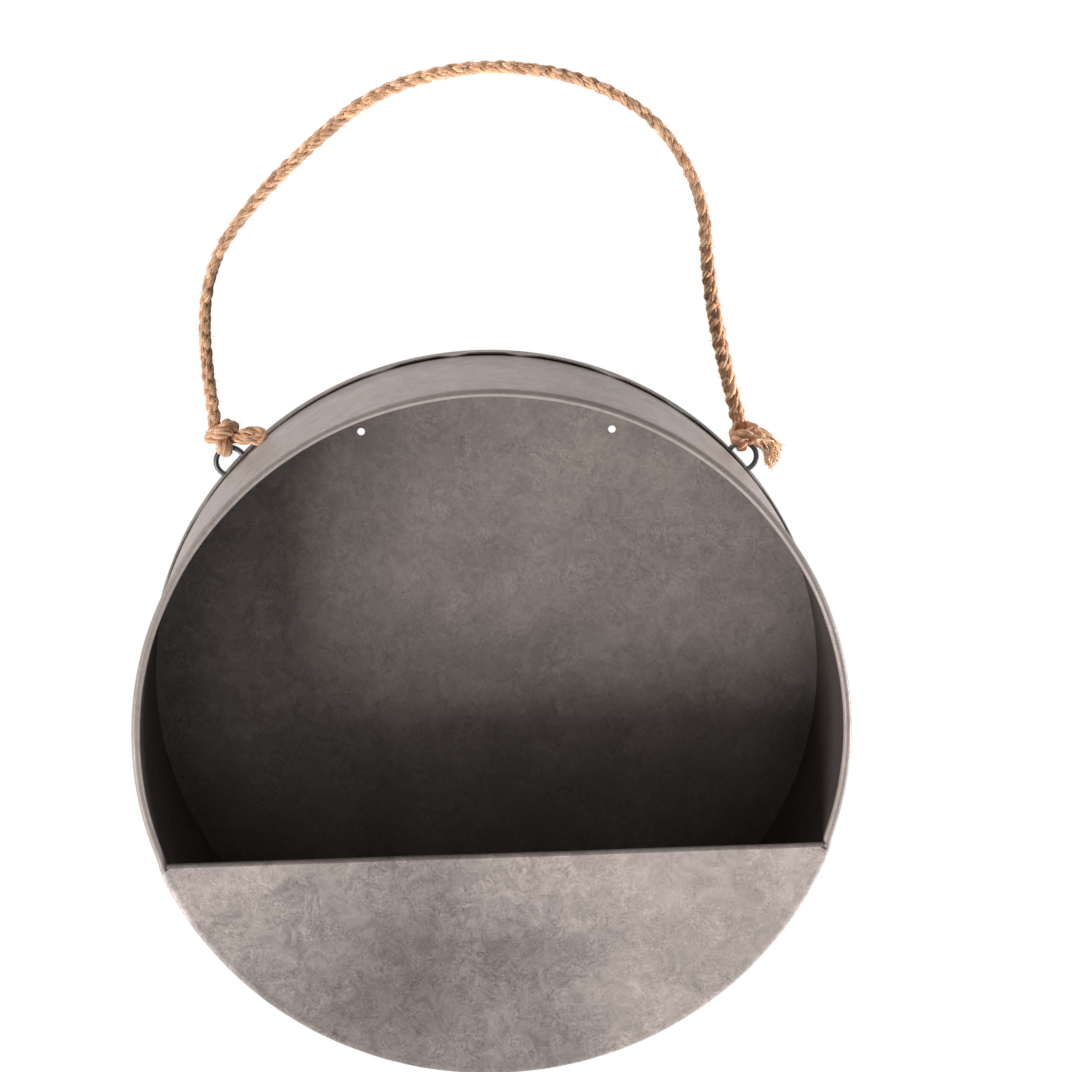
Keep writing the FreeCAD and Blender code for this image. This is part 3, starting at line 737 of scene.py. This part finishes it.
class WALLPLANTER_OT_pocket_front(bpy.types.Operator):
    """Pocket front: panel, skirt closed over the bead, and rolled hem"""

    bl_idname = "wall_planter.pocket_front"
    bl_label = "Pocket front"

    def execute(self, context):
        settings = context.scene.wall_planter.sheet
        flat_edge = SKIRT_OUTER - SKIRT_BEND
        bend = PANEL_FRONT + SKIRT_BEND
        lock = SKIRT_OUTER - SKIRT_LOCK
        slant = SHEET * math.sqrt(0.5)

        # The panel's grid is finer near its edge, and none is needed in its middle.
        start, near = 60 * MM, 190 * MM
        outline = run((start, PANEL_FRONT), (near, PANEL_FRONT), 38)
        outline += run((near, PANEL_FRONT), (flat_edge, PANEL_FRONT), 14)
        outline += arc((flat_edge, bend), SKIRT_BEND, 270, 360, 8)
        outline += [(SKIRT_OUTER, SKIRT_END), (lock, SKIRT_END + SKIRT_LOCK)]
        outline += [(lock - slant, SKIRT_END + SKIRT_LOCK - slant)]
        outline += [(SKIRT_INNER, SKIRT_END - SHEET * math.tan(math.pi / 8))]
        outline += arc((flat_edge, bend), SKIRT_BEND - SHEET, 360, 270, 6)
        outline += run((flat_edge, DRUM_FRONT), (near, DRUM_FRONT), 14)[1:]
        outline += run((near, DRUM_FRONT), (start, DRUM_FRONT), 38)
        outline += [(start, DRUM_FRONT)]

        def shift(radius, depth, angle):
            x, z = radius * math.cos(angle), radius * math.sin(angle)
            fade = clamp((flat_edge - radius) / (30 * MM))
            wave = waviness(x, z, 2.3, 0.06) + 0.5 * waviness(x, z, 9.1, 0.025)
            skirt = noise.noise(Vector((math.degrees(angle) / 5, 4.4, 0.0))) * 0.18 * MM
            edge = 1.0 if radius > SKIRT_INNER - SHEET else 0.0
            ridge = RIDGE_HEIGHT * math.exp(-((radius - RIDGE_RADIUS) / RIDGE_WIDTH) ** 2)
            return radius + skirt * edge, depth + wave * fade * settings.panel_wave - ridge

        bm = bmesh.new()
        revolve(bm, outline, shift)
        bmesh.ops.remove_doubles(bm, verts=bm.verts, dist=1e-7)
        hem_height = -(POCKET_DROP + HEM_RADIUS)
        for place, normal in (
            ((0, 0, hem_height), (0, 0, 1)),
            ((CORNER_CUT[0], 0, CORNER_CUT[1]), CORNER_SLANT),
            ((-CORNER_CUT[0], 0, CORNER_CUT[1]), (-CORNER_SLANT[0], 0, CORNER_SLANT[2])),
        ):
            bmesh.ops.bisect_plane(
                bm, geom=bm.verts[:] + bm.edges[:] + bm.faces[:], dist=1e-7,
                plane_co=place, plane_no=normal, clear_outer=True,
            )
            rim = [edge for edge in bm.edges if len(edge.link_faces) == 1]
            bmesh.ops.holes_fill(bm, edges=rim, sides=0)
        # Painted light and shade on the hem, in the value that the sheet material reads.
        rub = bm.verts.layers.float.new("rub")

        hem_place = PANEL_FRONT + HEM_RADIUS - HEM_PROUD
        roll = arc((hem_place, hem_height), HEM_RADIUS, 180, 180 - HEM_CURL, 20)
        roll += arc((hem_place, hem_height), HEM_RADIUS - SHEET, 180 - HEM_CURL, 180, 16)
        # The hem ends in front of the bead.
        low = POCKET_DROP + 2 * HEM_RADIUS
        half = math.sqrt(BAND_INNER ** 2 - low ** 2) + HEM_OVER_BEAD
        rings = []
        steps = 160
        for step in range(steps + 1):
            x = -half + 2 * half * step / steps
            fade = min(1.0, (half - abs(x)) / 0.03)
            rise = waviness(x, 0.0, 6.6, 0.05) * 0.3 * MM * fade
            ring = [bm.verts.new((x, y, z + rise)) for y, z in roll]
            for vertex, (_, z) in zip(ring, roll):
                # Painted shade on the top of the roll and a painted highlight on its underside, as the low light
                # would fall.
                vertex[rub] = -0.4 if z > hem_height - 0.3 * MM else 0.4
            rings.append(ring)
        bridge_rings(bm, rings)
        turn = Matrix.Rotation(-POCKET_TILT, 4, "Y")
        bmesh.ops.transform(bm, matrix=turn, verts=bm.verts)
        mesh = close_mesh(bm, "pocket_front_sheet")
        # The front gets painted light and shade: darker low on the left, paler to the upper right, plus the hem's
        # painted highlight and shade.
        outer = galvanised_sheet("galvanised_front_lit_and_shaded", settings.outer_colour, 1.5, PAINTED_SHADE_CENTRE)
        piece = new_piece("pocket_front_sheet", mesh, outer)
        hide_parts("pocket_front")
        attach(piece, "drum")
        return {"FINISHED"}


class WALLPLANTER_OT_wire_parts(bpy.types.Operator):
    """Finish of the wire in the rim and of both hanger loops"""

    bl_idname = "wall_planter.wire_parts"
    bl_label = "Wire parts"

    def execute(self, context):
        material = drawn_wire()
        for node in ("rim_wire", "hanger_loop_left", "hanger_loop_right"):
            piece = frame["nodes"][node]
            if not piece.material_slots:
                piece.data.materials.append(material)
            for slot in piece.material_slots:
                slot.material = material
            piece.data.shade_smooth()
        return {"FINISHED"}


# ---------------------------------------------------------------- rope

def spline_points(name, route):
    """Points along the NURBS line that has the route as its control points."""
    data = bpy.data.curves.new(name, "CURVE")
    data.dimensions = "3D"
    data.resolution_u = 16
    spline = data.splines.new("NURBS")
    spline.points.add(len(route) - 1)
    for point, place in zip(spline.points, route):
        point.co = (*place, 1.0)
    spline.order_u = 3
    spline.use_endpoint_u = True
    line = bpy.data.objects.new(name, data)
    bpy.context.scene.collection.objects.link(line)
    mesh = finished_mesh(line, name)
    points = [vertex.co.copy() for vertex in mesh.vertices]
    bpy.data.objects.remove(line)
    bpy.data.meshes.remove(mesh)
    return points


def new_tree(name, inputs):
    """A node group over geometry, the function that adds its nodes, and its inputs."""
    tree = bpy.data.node_groups.new(name, "GeometryNodeTree")
    tree.interface.new_socket("Geometry", in_out="INPUT", socket_type="NodeSocketGeometry")
    for label, kind, value in inputs:
        socket = tree.interface.new_socket(label, in_out="INPUT", socket_type=kind)
        if value is not None:
            socket.default_value = value
    tree.interface.new_socket("Geometry", in_out="OUTPUT", socket_type="NodeSocketGeometry")
    node = partial(add_node, tree)
    return tree, node, node("NodeGroupInput").outputs


def give_out(node, mesh, material):
    """Make the result real, smooth and dressed, and give it out."""
    smooth = node("GeometryNodeSetShadeSmooth", None, (mesh,))
    real = node("GeometryNodeRealizeInstances", None, (smooth,))
    dressed = node("GeometryNodeSetMaterial", None, {
        "Geometry": real, "Material": material})
    node("NodeGroupOutput", None, (dressed,))


def skin(node, curves, radius, sides):
    """Round skin on curves, with its own coordinates in the attribute "fibre"."""
    sized = node("GeometryNodeSetCurveRadius", None, {
        "Curve": curves, "Radius": radius})
    circle = node("GeometryNodeCurvePrimitiveCircle", {"mode": "RADIUS"}, {
        "Resolution": sides, "Radius": 1.0})
    ring = node(STORE, VECTOR, {
        "Geometry": circle, "Name": "round", "Value": node(POSITION)})
    tube = node("GeometryNodeCurveToMesh", None, {
        "Curve": sized, "Profile Curve": ring, "Scale": radius, "Fill Caps": True})
    around = node(READ, VECTOR, ("round",))
    around = node(VECTOR_MATH, "MULTIPLY", (around, (MM, MM, 0.0)))
    along, tone = (node(READ, FLOAT, (label,)) for label in ("along", "tone"))
    along = node(MATH, "ADD", (along, tone))
    along = node(COMBINE, None, {"Z": along})
    fibre = node(VECTOR_MATH, "ADD", (around, along))
    return node(STORE, VECTOR, {"Geometry": tube, "Name": "fibre", "Value": fibre})


# A yarn's place in the plait, in shares of the rope's girth: how far a strand
# swings across, and over and under, the ring of its yarns, and their thickness.
SWING_ACROSS = 0.18
SWING_OVER = 0.14
YARN_RING = 0.15
YARN_THIN, YARN_THICK = 0.19, 0.225
YARN_STRAY = 0.09
# How far the plait turns about its line, in radians, and over what length.
DRIFT, DRIFT_LENGTH = 0.8, 90 * MM
# The length over which a yarn wanders, and a number that sets the yarns apart.
WANDER_LENGTH = 7 * MM
YARN_KEY = 7.31


def plait_tree():
    """Three strands of twisted yarns, plaited along a line."""
    tree, node, given = new_tree("plaited_rope", (
        ("From", "NodeSocketFloat", 0.0),
        ("To", "NodeSocketFloat", 1.0),
        ("Step", "NodeSocketFloat", 0.6 * MM),
        ("Plait Pitch", "NodeSocketFloat", 27 * MM),
        ("Twist Pitch", "NodeSocketFloat", 17 * MM),
        ("Yarns per Strand", "NodeSocketInt", 3),
        ("Seed", "NodeSocketInt", 1),
        ("Material", "NodeSocketMaterial", None),
    ))
    line = node("GeometryNodeMeshToCurve", None, {"Mesh": given["Geometry"]})
    kept = node("GeometryNodeResampleCurve", {"mode": "LENGTH"}, {
        "Curve": line, "Length": given["Step"]})
    length = node("GeometryNodeSplineParameter").outputs["Length"]
    for label, kind, value in (
        ("along", FLOAT, length), ("ahead", VECTOR, node("GeometryNodeInputTangent")),
        ("core", VECTOR, node(POSITION)),
    ):
        kept = node(STORE, kind, {"Geometry": kept, "Name": label, "Value": value})
    part = node("GeometryNodeTrimCurve", {"mode": "LENGTH"}, {
        "Curve": kept, 4: given["From"], 5: given["To"]})
    total = node(MATH, "MULTIPLY", (given["Yarns per Strand"], 3.0))
    copies = node("GeometryNodeDuplicateElements", {"domain": "SPLINE"}, {
        "Geometry": part, "Amount": total})
    index = copies.outputs["Duplicate Index"]
    along, girth = (node(READ, FLOAT, (label,)) for label in ("along", "girth"))
    ahead, side, core = (
        node(READ, VECTOR, (label,)) for label in ("ahead", "side", "core"))

    # Strand 0, 1 or 2, and the yarn's number in its strand.
    strand = node(MATH, "DIVIDE", (index, given["Yarns per Strand"]))
    strand = node(MATH, "FLOOR", (strand,))
    yarn = node(MATH, "MODULO", (index, given["Yarns per Strand"]))

    # The plait turns slowly about its line, as a rope does in the hand.
    drift = node(NOISE, {"noise_dimensions": "1D"}, {
        "W": along, "Scale": 1 / DRIFT_LENGTH, "Detail": 1.0})
    drift = node(MAP_RANGE, None, (drift, 0.0, 1.0, -DRIFT, DRIFT))
    across = node("ShaderNodeVectorRotate", {"rotation_type": "AXIS_ANGLE"}, {
        "Vector": side, "Axis": ahead, "Angle": drift})
    over = node(VECTOR_MATH, "CROSS_PRODUCT", (ahead, across))

    # The strand swings across once, and over and under twice, in one pitch.
    turns = node(MATH, "DIVIDE", (along, given["Plait Pitch"]))
    phase = node(MATH, "DIVIDE", (strand, 3.0))
    phase = node(MATH, "ADD", (turns, phase))
    angle = node(MATH, "MULTIPLY", (phase, 2 * math.pi))
    wide = node(MATH, "SINE", (angle,))
    wide = node(MATH, "MULTIPLY", (wide, SWING_ACROSS))
    deep = node(MATH, "MULTIPLY", (angle, 2.0))
    deep = node(MATH, "SINE", (deep,))
    deep = node(MATH, "MULTIPLY", (deep, SWING_OVER))

    # The yarns twist about each other, and each wanders a little by itself.
    twist = node(MATH, "DIVIDE", (along, given["Twist Pitch"]))
    slot = node(MATH, "DIVIDE", (yarn, given["Yarns per Strand"]))
    spin = node(MATH, "ADD", (twist, slot))
    spin = node(MATH, "MULTIPLY_ADD", (spin, 2 * math.pi, strand))
    key = node(MATH, "MULTIPLY_ADD", (index, YARN_KEY, given["Seed"]))
    spot = node(MATH, "DIVIDE", (along, WANDER_LENGTH))
    spot = node(COMBINE, None, (spot, key))
    wander = node(NOISE, None, {"Vector": spot, "Scale": 1.0, "Detail": 1.0})
    stray = node(VECTOR_MATH, "SUBTRACT", (wander.outputs["Color"], (0.5, 0.5, 0.5)))
    stray = node("ShaderNodeSeparateXYZ", None, (stray,)).outputs
    moves = []
    for way, operation, swing, axis in (
        (0, "COSINE", wide, across), (1, "SINE", deep, over),
    ):
        move = node(MATH, operation, (spin,))
        move = node(MATH, "MULTIPLY_ADD", (move, YARN_RING, swing))
        move = node(MATH, "MULTIPLY_ADD", (stray[way], YARN_STRAY, move))
        move = node(MATH, "MULTIPLY", (move, girth))
        moves.append(node(VECTOR_MATH, "SCALE", {0: axis, "Scale": move}))
    placed = node("GeometryNodeSetPosition", None, {
        "Geometry": copies, "Offset": node(VECTOR_MATH, "ADD", moves)})
    radius = node(MAP_RANGE, None, (stray[2], -0.3, 0.3, YARN_THIN, YARN_THICK))
    radius = node(MATH, "MULTIPLY", (radius, girth))
    chance = node("FunctionNodeRandomValue", FLOAT, {
        "ID": index, "Seed": given["Seed"]}).outputs["Value"]
    toned = node(STORE, {**FLOAT, "domain": "CURVE"}, {
        "Geometry": placed, "Name": "tone", "Value": chance})
    yarns = skin(node, toned, radius, 8)

    # How far the skin is from the rope's middle, in shares of its girth, which the yarn material uses for painted
    # shade in the crevices.
    away = node(VECTOR_MATH, "DISTANCE", (node(POSITION), core))
    away = node(MATH, "DIVIDE", (away.outputs["Value"], girth))
    yarns = node(STORE, FLOAT, {"Geometry": yarns, "Name": "depth", "Value": away})
    give_out(node, yarns, given["Material"])
    return tree


def strand_tree():
    """Round yarns along lines that carry their own thickness and tone."""
    tree, node, given = new_tree("loose_yarns", (("Material", "NodeSocketMaterial", None),))
    line = node("GeometryNodeMeshToCurve", None, {"Mesh": given["Geometry"]})
    girth = node(READ, FLOAT, ("girth",))
    give_out(node, skin(node, line, girth, 5), given["Material"])
    return tree


def run_tree(piece_name, source, tree, values):
    """Run a node tree over a mesh and keep the result as a plain mesh."""
    piece = bpy.data.objects.new(piece_name, source)
    bpy.context.scene.collection.objects.link(piece)
    modifier = piece.modifiers.new(tree.name, "NODES")
    modifier.node_group = tree
    sockets = {item.name: item.identifier for item in tree.interface.items_tree
               if item.item_type == "SOCKET" and item.in_out == "INPUT"}
    for name, value in values.items():
        modifier[sockets[name]] = value
    mesh = finished_mesh(piece, piece_name)
    piece.modifiers.clear()
    piece.data = mesh
    return piece


def carried_sides(points, middle):
    """A direction across the line at each point, carried along it without twist."""
    ahead = [(points[min(i + 1, len(points) - 1)] - points[max(i - 1, 0)]).normalized()
             for i in range(len(points))]
    sides = [None] * len(points)
    sides[middle] = ahead[middle].cross(Vector((0, 1, 0))).normalized()
    for way, last in ((1, len(points)), (-1, -1)):
        for i in range(middle + way, last, way):
            before = sides[i - way]
            sides[i] = (before - ahead[i] * before.dot(ahead[i])).normalized()
    return sides


def knot_line(name, side, rope_end, rope_girth, route):
    """Places and girths along a knot's route, which starts at the rope's end."""
    top = Vector((side * LOOP_TOP.x, LOOP_TOP.y, LOOP_TOP.z))
    places = [rope_end] + [top + Vector(entry[:3]) * MM for entry in route]
    points = spline_points(name, places)
    girths = [rope_girth] + [entry[3] * MM for entry in route]
    shares = np.linspace(0, len(girths) - 1, len(points))
    return points, list(np.interp(shares, range(len(girths)), girths))


def line_length(points):
    return sum((after - before).length for before, after in zip(points, points[1:]))


def line_mesh(name, points, edges=None, **values):
    """A mesh of open lines, or of one, with a value for each point in every attribute."""
    mesh = bpy.data.meshes.new(name)
    mesh.from_pydata(points, edges or [(i, i + 1) for i in range(len(points) - 1)], [])
    for label, numbers in values.items():
        set_attribute(mesh, label, numbers)
    return mesh


def yarns_mesh(name, yarns, bleach=0.0):
    """One mesh of many open lines, each a list of places, girths and a tone."""
    points, edges, girths, reach, tones = [], [], [], [], []
    for places, thickness, tone in yarns:
        gone = 0.0
        for number, (place, girth) in enumerate(zip(places, thickness)):
            if number:
                edges.append((len(points) - 1, len(points)))
                gone += (place - points[-1]).length
            points.append(place)
            girths.append(girth)
            reach.append(gone)
            tones.append(tone)
    return line_mesh(
        name, points, edges, girth=girths, along=reach, tone=tones, bleach=[bleach] * len(points))


def bend_through(start, lead, tip, steps):
    """Points of a quadratic curve from start towards lead and on to tip."""
    points = []
    for step in range(steps + 1):
        t = step / steps
        points.append(start * (1 - t) ** 2 + lead * (2 * t * (1 - t)) + tip * t * t)
    return points


def scatter(rng, spread):
    return Vector(rng.normal(0, spread, 3))


def frayed_locks(rng, top, count):
    """Yarns that leave the right knot together and fan out into three locks."""
    root = top + Vector(RIGHT_LOCKS_ROOT) * MM
    yarns = []
    for tip, spread, part in RIGHT_LOCKS:
        for _ in range(int(count * part)):
            start = root + Vector((rng.uniform(-2, 1), *rng.normal(0, 2.2, 2))) * MM
            end = top + (Vector(tip) + scatter(rng, spread * 0.55)) * MM
            end += (end - start) * rng.uniform(-0.14, 0.03)
            lead = start.lerp(end, 0.5) + (Vector(LOCK_RISE) + scatter(rng, 0.5)) * MM
            places = bend_through(start, lead, end, LOCK_STEPS)
            shares = [i / LOCK_STEPS for i in range(LOCK_STEPS + 1)]
            sway = Vector(rng.uniform(-1, 1, 3)) * 0.25 * MM
            waves = rng.uniform(1.2, 2.6)
            places = [place + sway * math.sin(waves * share * math.pi) * share
                      for share, place in zip(shares, places)]
            girth = rng.uniform(0.30, 0.62) * MM
            girths = [girth * (1 - 0.4 * share ** 2) for share in shares]
            yarns.append((places, girths, rng.uniform(0, 1)))
    return yarns


def loose_fibres(rng, anchors, length, count):
    """Short bent fibres that stand off from anchor lines."""
    yarns = []
    for _ in range(count):
        line = anchors[rng.integers(len(anchors))]
        at = rng.integers(len(line) // 2, len(line) - 1)
        ahead = (line[at + 1] - line[at]).normalized()
        away = scatter(rng, 1.0)
        away = (away - ahead * away.dot(ahead)).normalized()
        reach = length * rng.uniform(0.5, 1.3)
        tip = line[at] + ahead * reach * rng.uniform(0.5, 1.0) + away * reach * rng.uniform(0.2, 0.7)
        places = bend_through(line[at], line[at] + ahead * reach * 0.5, tip, FIBRE_STEPS)
        yarns.append((places, [LOCK_FIBRE_GIRTH] * len(places), rng.uniform(0, 1)))
    return yarns


def surface_fuzz(rng, piece, length, spacing):
    """Fibres that lie along a finished piece's skin and stand off a little."""
    mesh = piece.data
    yarns = []
    areas = np.array([face.area for face in mesh.polygons])
    count = int(areas.sum() / spacing ** 2)
    chosen = rng.choice(len(areas), size=count, p=areas / areas.sum())
    for number in chosen:
        face = mesh.polygons[int(number)]
        edge = mesh.vertices[face.vertices[0]].co - mesh.vertices[face.vertices[-1]].co
        if edge.length < 1e-9:
            continue
        along = edge.normalized()
        if rng.random() < 0.5:
            along.negate()
        around = face.normal.cross(along)
        reach = length * rng.uniform(0.4, 1.2)
        heading = (along + around * rng.uniform(-0.8, 0.8)).normalized()
        tip = face.center + heading * reach * 0.8 + face.normal * reach * rng.uniform(0.1, 0.55)
        lead = face.center + heading * reach * 0.5 + scatter(rng, 0.15) * MM
        places = bend_through(face.center, lead, tip, FIBRE_STEPS)
        yarns.append((places, [FUZZ_GIRTH] * len(places), rng.uniform(0, 1)))
    return yarns


def press_to_wall(piece):
    """Flatten what would stick through the wall that the drum hangs on."""
    places = np.empty(len(piece.data.vertices) * 3)
    piece.data.vertices.foreach_get("co", places)
    places[1::3] = np.minimum(places[1::3], -WALL_GAP)
    piece.data.vertices.foreach_set("co", places)
    piece.data.update()


class WALLPLANTER_OT_rope(bpy.types.Operator):
    """Plaited rope with both knots and both tails"""

    bl_idname = "wall_planter.rope"
    bl_label = "Rope, knots and tails"

    def execute(self, context):
        settings = context.scene.wall_planter.rope
        rng = np.random.default_rng(ROPE_SEED)
        # The rope's yarns get painted shade in the crevices between them.
        yarn = jute("jute_yarn", settings.jute_colour, crevice_shade=True)
        pale = jute("jute_loose_fibre", settings.fibre_colour, 0.3)

        middle = spline_points("rope_route", ROPE_ROUTE)
        split = len(LEFT_KNOT_ROUTE)
        shares = np.linspace(0, len(ROPE_SWELL) - 1, len(middle))
        swell = list(np.interp(shares, range(len(ROPE_SWELL)), ROPE_SWELL) * settings.diameter)
        # Painted light along the rope, paler towards the top and the right.
        bleach = list(np.interp(shares, range(len(ROPE_PAINTED_LIFT)), ROPE_PAINTED_LIFT))
        left, left_girths = knot_line(
            "left_knot_route", -1, middle[0], swell[0], LEFT_KNOT_ROUTE + LEFT_TAIL_ROUTE)
        right, right_girths = knot_line(
            "right_knot_route", 1, middle[-1], swell[-1], RIGHT_KNOT_ROUTE)
        # The left tail begins just before the last point of its knot's route.
        root = round((len(left) - 1) * (split - 0.2) / (split + len(LEFT_TAIL_ROUTE)))
        points = left[:0:-1] + middle + right[1:]
        girths = left_girths[:0:-1] + swell + right_girths[1:]
        bleach = [bleach[0]] * (len(left) - 1) + bleach + [bleach[-1]] * (len(right) - 1)
        sides = carried_sides(points, len(left) + len(middle) // 2)
        line = line_mesh("rope_line", points, girth=girths, bleach=bleach, side=sides)

        marks = [0.0]
        for part in (left[root:], left[:root + 1], middle, right):
            marks.append(marks[-1] + line_length(part))
        tree = plait_tree()
        pieces = {}
        for number, (name, node) in enumerate((
            ("rope_tail_left_plait", "rope_tail_left"), ("knot_left_plait", "knot_left"),
            ("rope_plait", "rope"), ("knot_right_plait", "knot_right"),
        )):
            pieces[node] = run_tree(name, line, tree, {
                "From": marks[number], "To": marks[number + 1],
                "Plait Pitch": settings.plait_pitch, "Yarns per Strand": settings.yarns,
                "Material": yarn})

        strands = strand_tree()
        locks = frayed_locks(rng, LOOP_TOP, LOCK_YARNS)
        fibres = loose_fibres(rng, [entry[0] for entry in locks], LOCK_FIBRE_LENGTH, LOCK_FIBRES)
        # The locks take the rope's strongest painted light.
        pieces["rope_tail_right"] = run_tree(
            "rope_tail_right_locks", yarns_mesh("locks", locks + fibres, ROPE_PAINTED_LIFT[-1]), strands,
            {"Material": pale})

        for node in ("rope", "knot_left", "knot_right"):
            fuzz = surface_fuzz(rng, pieces[node], settings.fuzz_length, FUZZ_SPACING)
            pieces[node + "_fuzz"] = run_tree(
                node + "_fuzz", yarns_mesh(node + "_fibres", fuzz), strands, {"Material": pale})

        for piece in pieces.values():
            press_to_wall(piece)
        for node in ("rope", "knot_left", "knot_right", "rope_tail_left", "rope_tail_right"):
            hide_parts(node)
        for node in ("rope", "knot_left", "knot_right"):
            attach(pieces[node], "rope_hanger")
            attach(pieces[node + "_fuzz"], "rope_hanger")
        left_top = Vector((-LOOP_TOP.x, LOOP_TOP.y, LOOP_TOP.z))
        for node, top, span in (
            ("rope_tail_left", left_top, LEFT_TAIL_SPAN),
            ("rope_tail_right", LOOP_TOP, RIGHT_TAIL_SPAN),
        ):
            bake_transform(pieces[node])
        return {"FINISHED"}


# ---------------------------------------------------------------- stage

# The softbox stands low on the left, so the pocket and the left wall shade the
# inside. The small lamps graze the band and the rope. Each lamp has its place,
# its size, its share of the power and how much it gleams on the sheet.
LAMPS = (
    ("low_softbox", (-2.78, -2.3, -1.84), 1.9, 1.0, 1.0),
    ("left_lamp", (-1.1, 0.1, 1.6), 0.4, 1.5, 0.15),
    ("top_lamp", (0.2, -0.35, 2.2), 0.4, 0.6, 0.15),
    ("right_lamp", (1.6, -0.14, -0.3), 0.2, 2.9, 0.15),
)
LAMP_AIM = (0, 0, 0.05)
# The camera's focal length and sensor in mm, its place, and its turns in degrees.
CAMERA_LENS = (99.85, 36.0)
CAMERA_PLACE = (-0.0416, -1.6857, 0.5503)
CAMERA_TURN = (74.62, 0.0, -2.46)
# The planter hangs this far above the middle of a square floor, which is twice
# this wide. The paper on it glows a little less than white to the camera, so
# that the planter's shadow stays on it.
FLOOR_DROP = 1.5
FLOOR_HALF = 1.0
PAPER, PAPER_GLOW = (*linear("f4f3f1"), 1), 0.9


def seen_as_white(node):
    """1 for the rays that show the background: from the camera, in metal and in glass."""
    rays = node("ShaderNodeLightPath").outputs
    seen = node(MATH, "MAXIMUM", (rays["Is Camera Ray"], rays["Is Glossy Ray"]))
    return node(MATH, "MAXIMUM", (seen, rays["Is Transmission Ray"]))


def studio_paper():
    """Seamless studio paper: matt and white, with room for a faint shadow."""
    material, node = new_material("white_studio_paper")
    matt = node("ShaderNodeBsdfDiffuse", None, (PAPER,))
    glow = node(MATH, "MULTIPLY", (seen_as_white(node), PAPER_GLOW))
    glow = node("ShaderNodeEmission", None, ((1, 1, 1, 1), glow))
    both = node("ShaderNodeAddShader", None, (matt, glow))
    node(SURFACE, None, {"Surface": both})
    return material


class WALLPLANTER_OT_stage(bpy.types.Operator):
    """Floor, lamps, world and camera"""

    bl_idname = "wall_planter.stage"
    bl_label = "Stage"

    def execute(self, context):
        scene = context.scene
        settings = scene.wall_planter.stage

        world = bpy.data.worlds.new("white_studio")
        scene.world = world
        world.use_nodes = True
        world.node_tree.nodes.clear()
        node = partial(add_node, world.node_tree)
        strength = node(MAP_RANGE, None, (seen_as_white(node), 0.0, 1.0, settings.room_light, 1.0))
        background = node("ShaderNodeBackground", None, {
            "Color": (1, 1, 1, 1), "Strength": strength})
        node("ShaderNodeOutputWorld", None, {"Surface": background})

        mesh = bpy.data.meshes.new("studio_floor")
        corners = [(-1, -1), (1, -1), (1, 1), (-1, 1)]
        mesh.from_pydata(
            [(x * FLOOR_HALF, y * FLOOR_HALF, -FLOOR_DROP) for x, y in corners], [], [(0, 1, 2, 3)])
        new_piece("studio_floor", mesh, studio_paper())

        powers = [settings.softbox_power, *[settings.side_power] * 3]
        for (name, place, size, share, gleam), power in zip(LAMPS, powers):
            lamp = bpy.data.lights.new(name, "AREA")
            lamp.shape = "SQUARE"
            lamp.size = size
            lamp.energy = share * power
            lamp.specular_factor = gleam
            holder = bpy.data.objects.new(name, lamp)
            scene.collection.objects.link(holder)
            holder.location = place
            aim = Vector(LAMP_AIM) - Vector(place)
            holder.rotation_euler = aim.to_track_quat("-Z", "Y").to_euler()

        data = bpy.data.cameras.new("photo_camera")
        data.lens, data.sensor_width = CAMERA_LENS
        camera = bpy.data.objects.new("photo_camera", data)
        scene.collection.objects.link(camera)
        camera.location = CAMERA_PLACE
        camera.rotation_euler = [math.radians(turn) for turn in CAMERA_TURN]
        scene.camera = camera
        scene.view_settings.view_transform = "Standard"
        return {"FINISHED"}


# ---------------------------------------------------------------- add-on

class WALLPLANTER_PT_panel(bpy.types.Panel):
    bl_idname = "WALLPLANTER_PT_panel"
    bl_label = "Wall planter"
    bl_space_type = "VIEW_3D"
    bl_region_type = "UI"
    bl_category = "Planter"

    def draw(self, context):
        for step in STEPS:
            self.layout.operator(step.bl_idname)


STEPS = (
    WALLPLANTER_OT_stage,
    WALLPLANTER_OT_rope,
    WALLPLANTER_OT_back_plate,
    WALLPLANTER_OT_side_band,
    WALLPLANTER_OT_pocket_front,
    WALLPLANTER_OT_wire_parts,
)
CLASSES = (
    SheetSettings, RopeSettings, StageSettings, PlanterSettings, *STEPS, WALLPLANTER_PT_panel,
)


def register():
    for each in CLASSES:
        bpy.utils.register_class(each)
    bpy.types.Scene.wall_planter = PointerProperty(type=PlanterSettings)


def unregister():
    del bpy.types.Scene.wall_planter
    for each in reversed(CLASSES):
        bpy.utils.unregister_class(each)


def main():
    register()
    for step in STEPS:
        group, name = step.bl_idname.split(".")
        getattr(getattr(bpy.ops, group), name)()


if __name__ == "__main__":
    main()
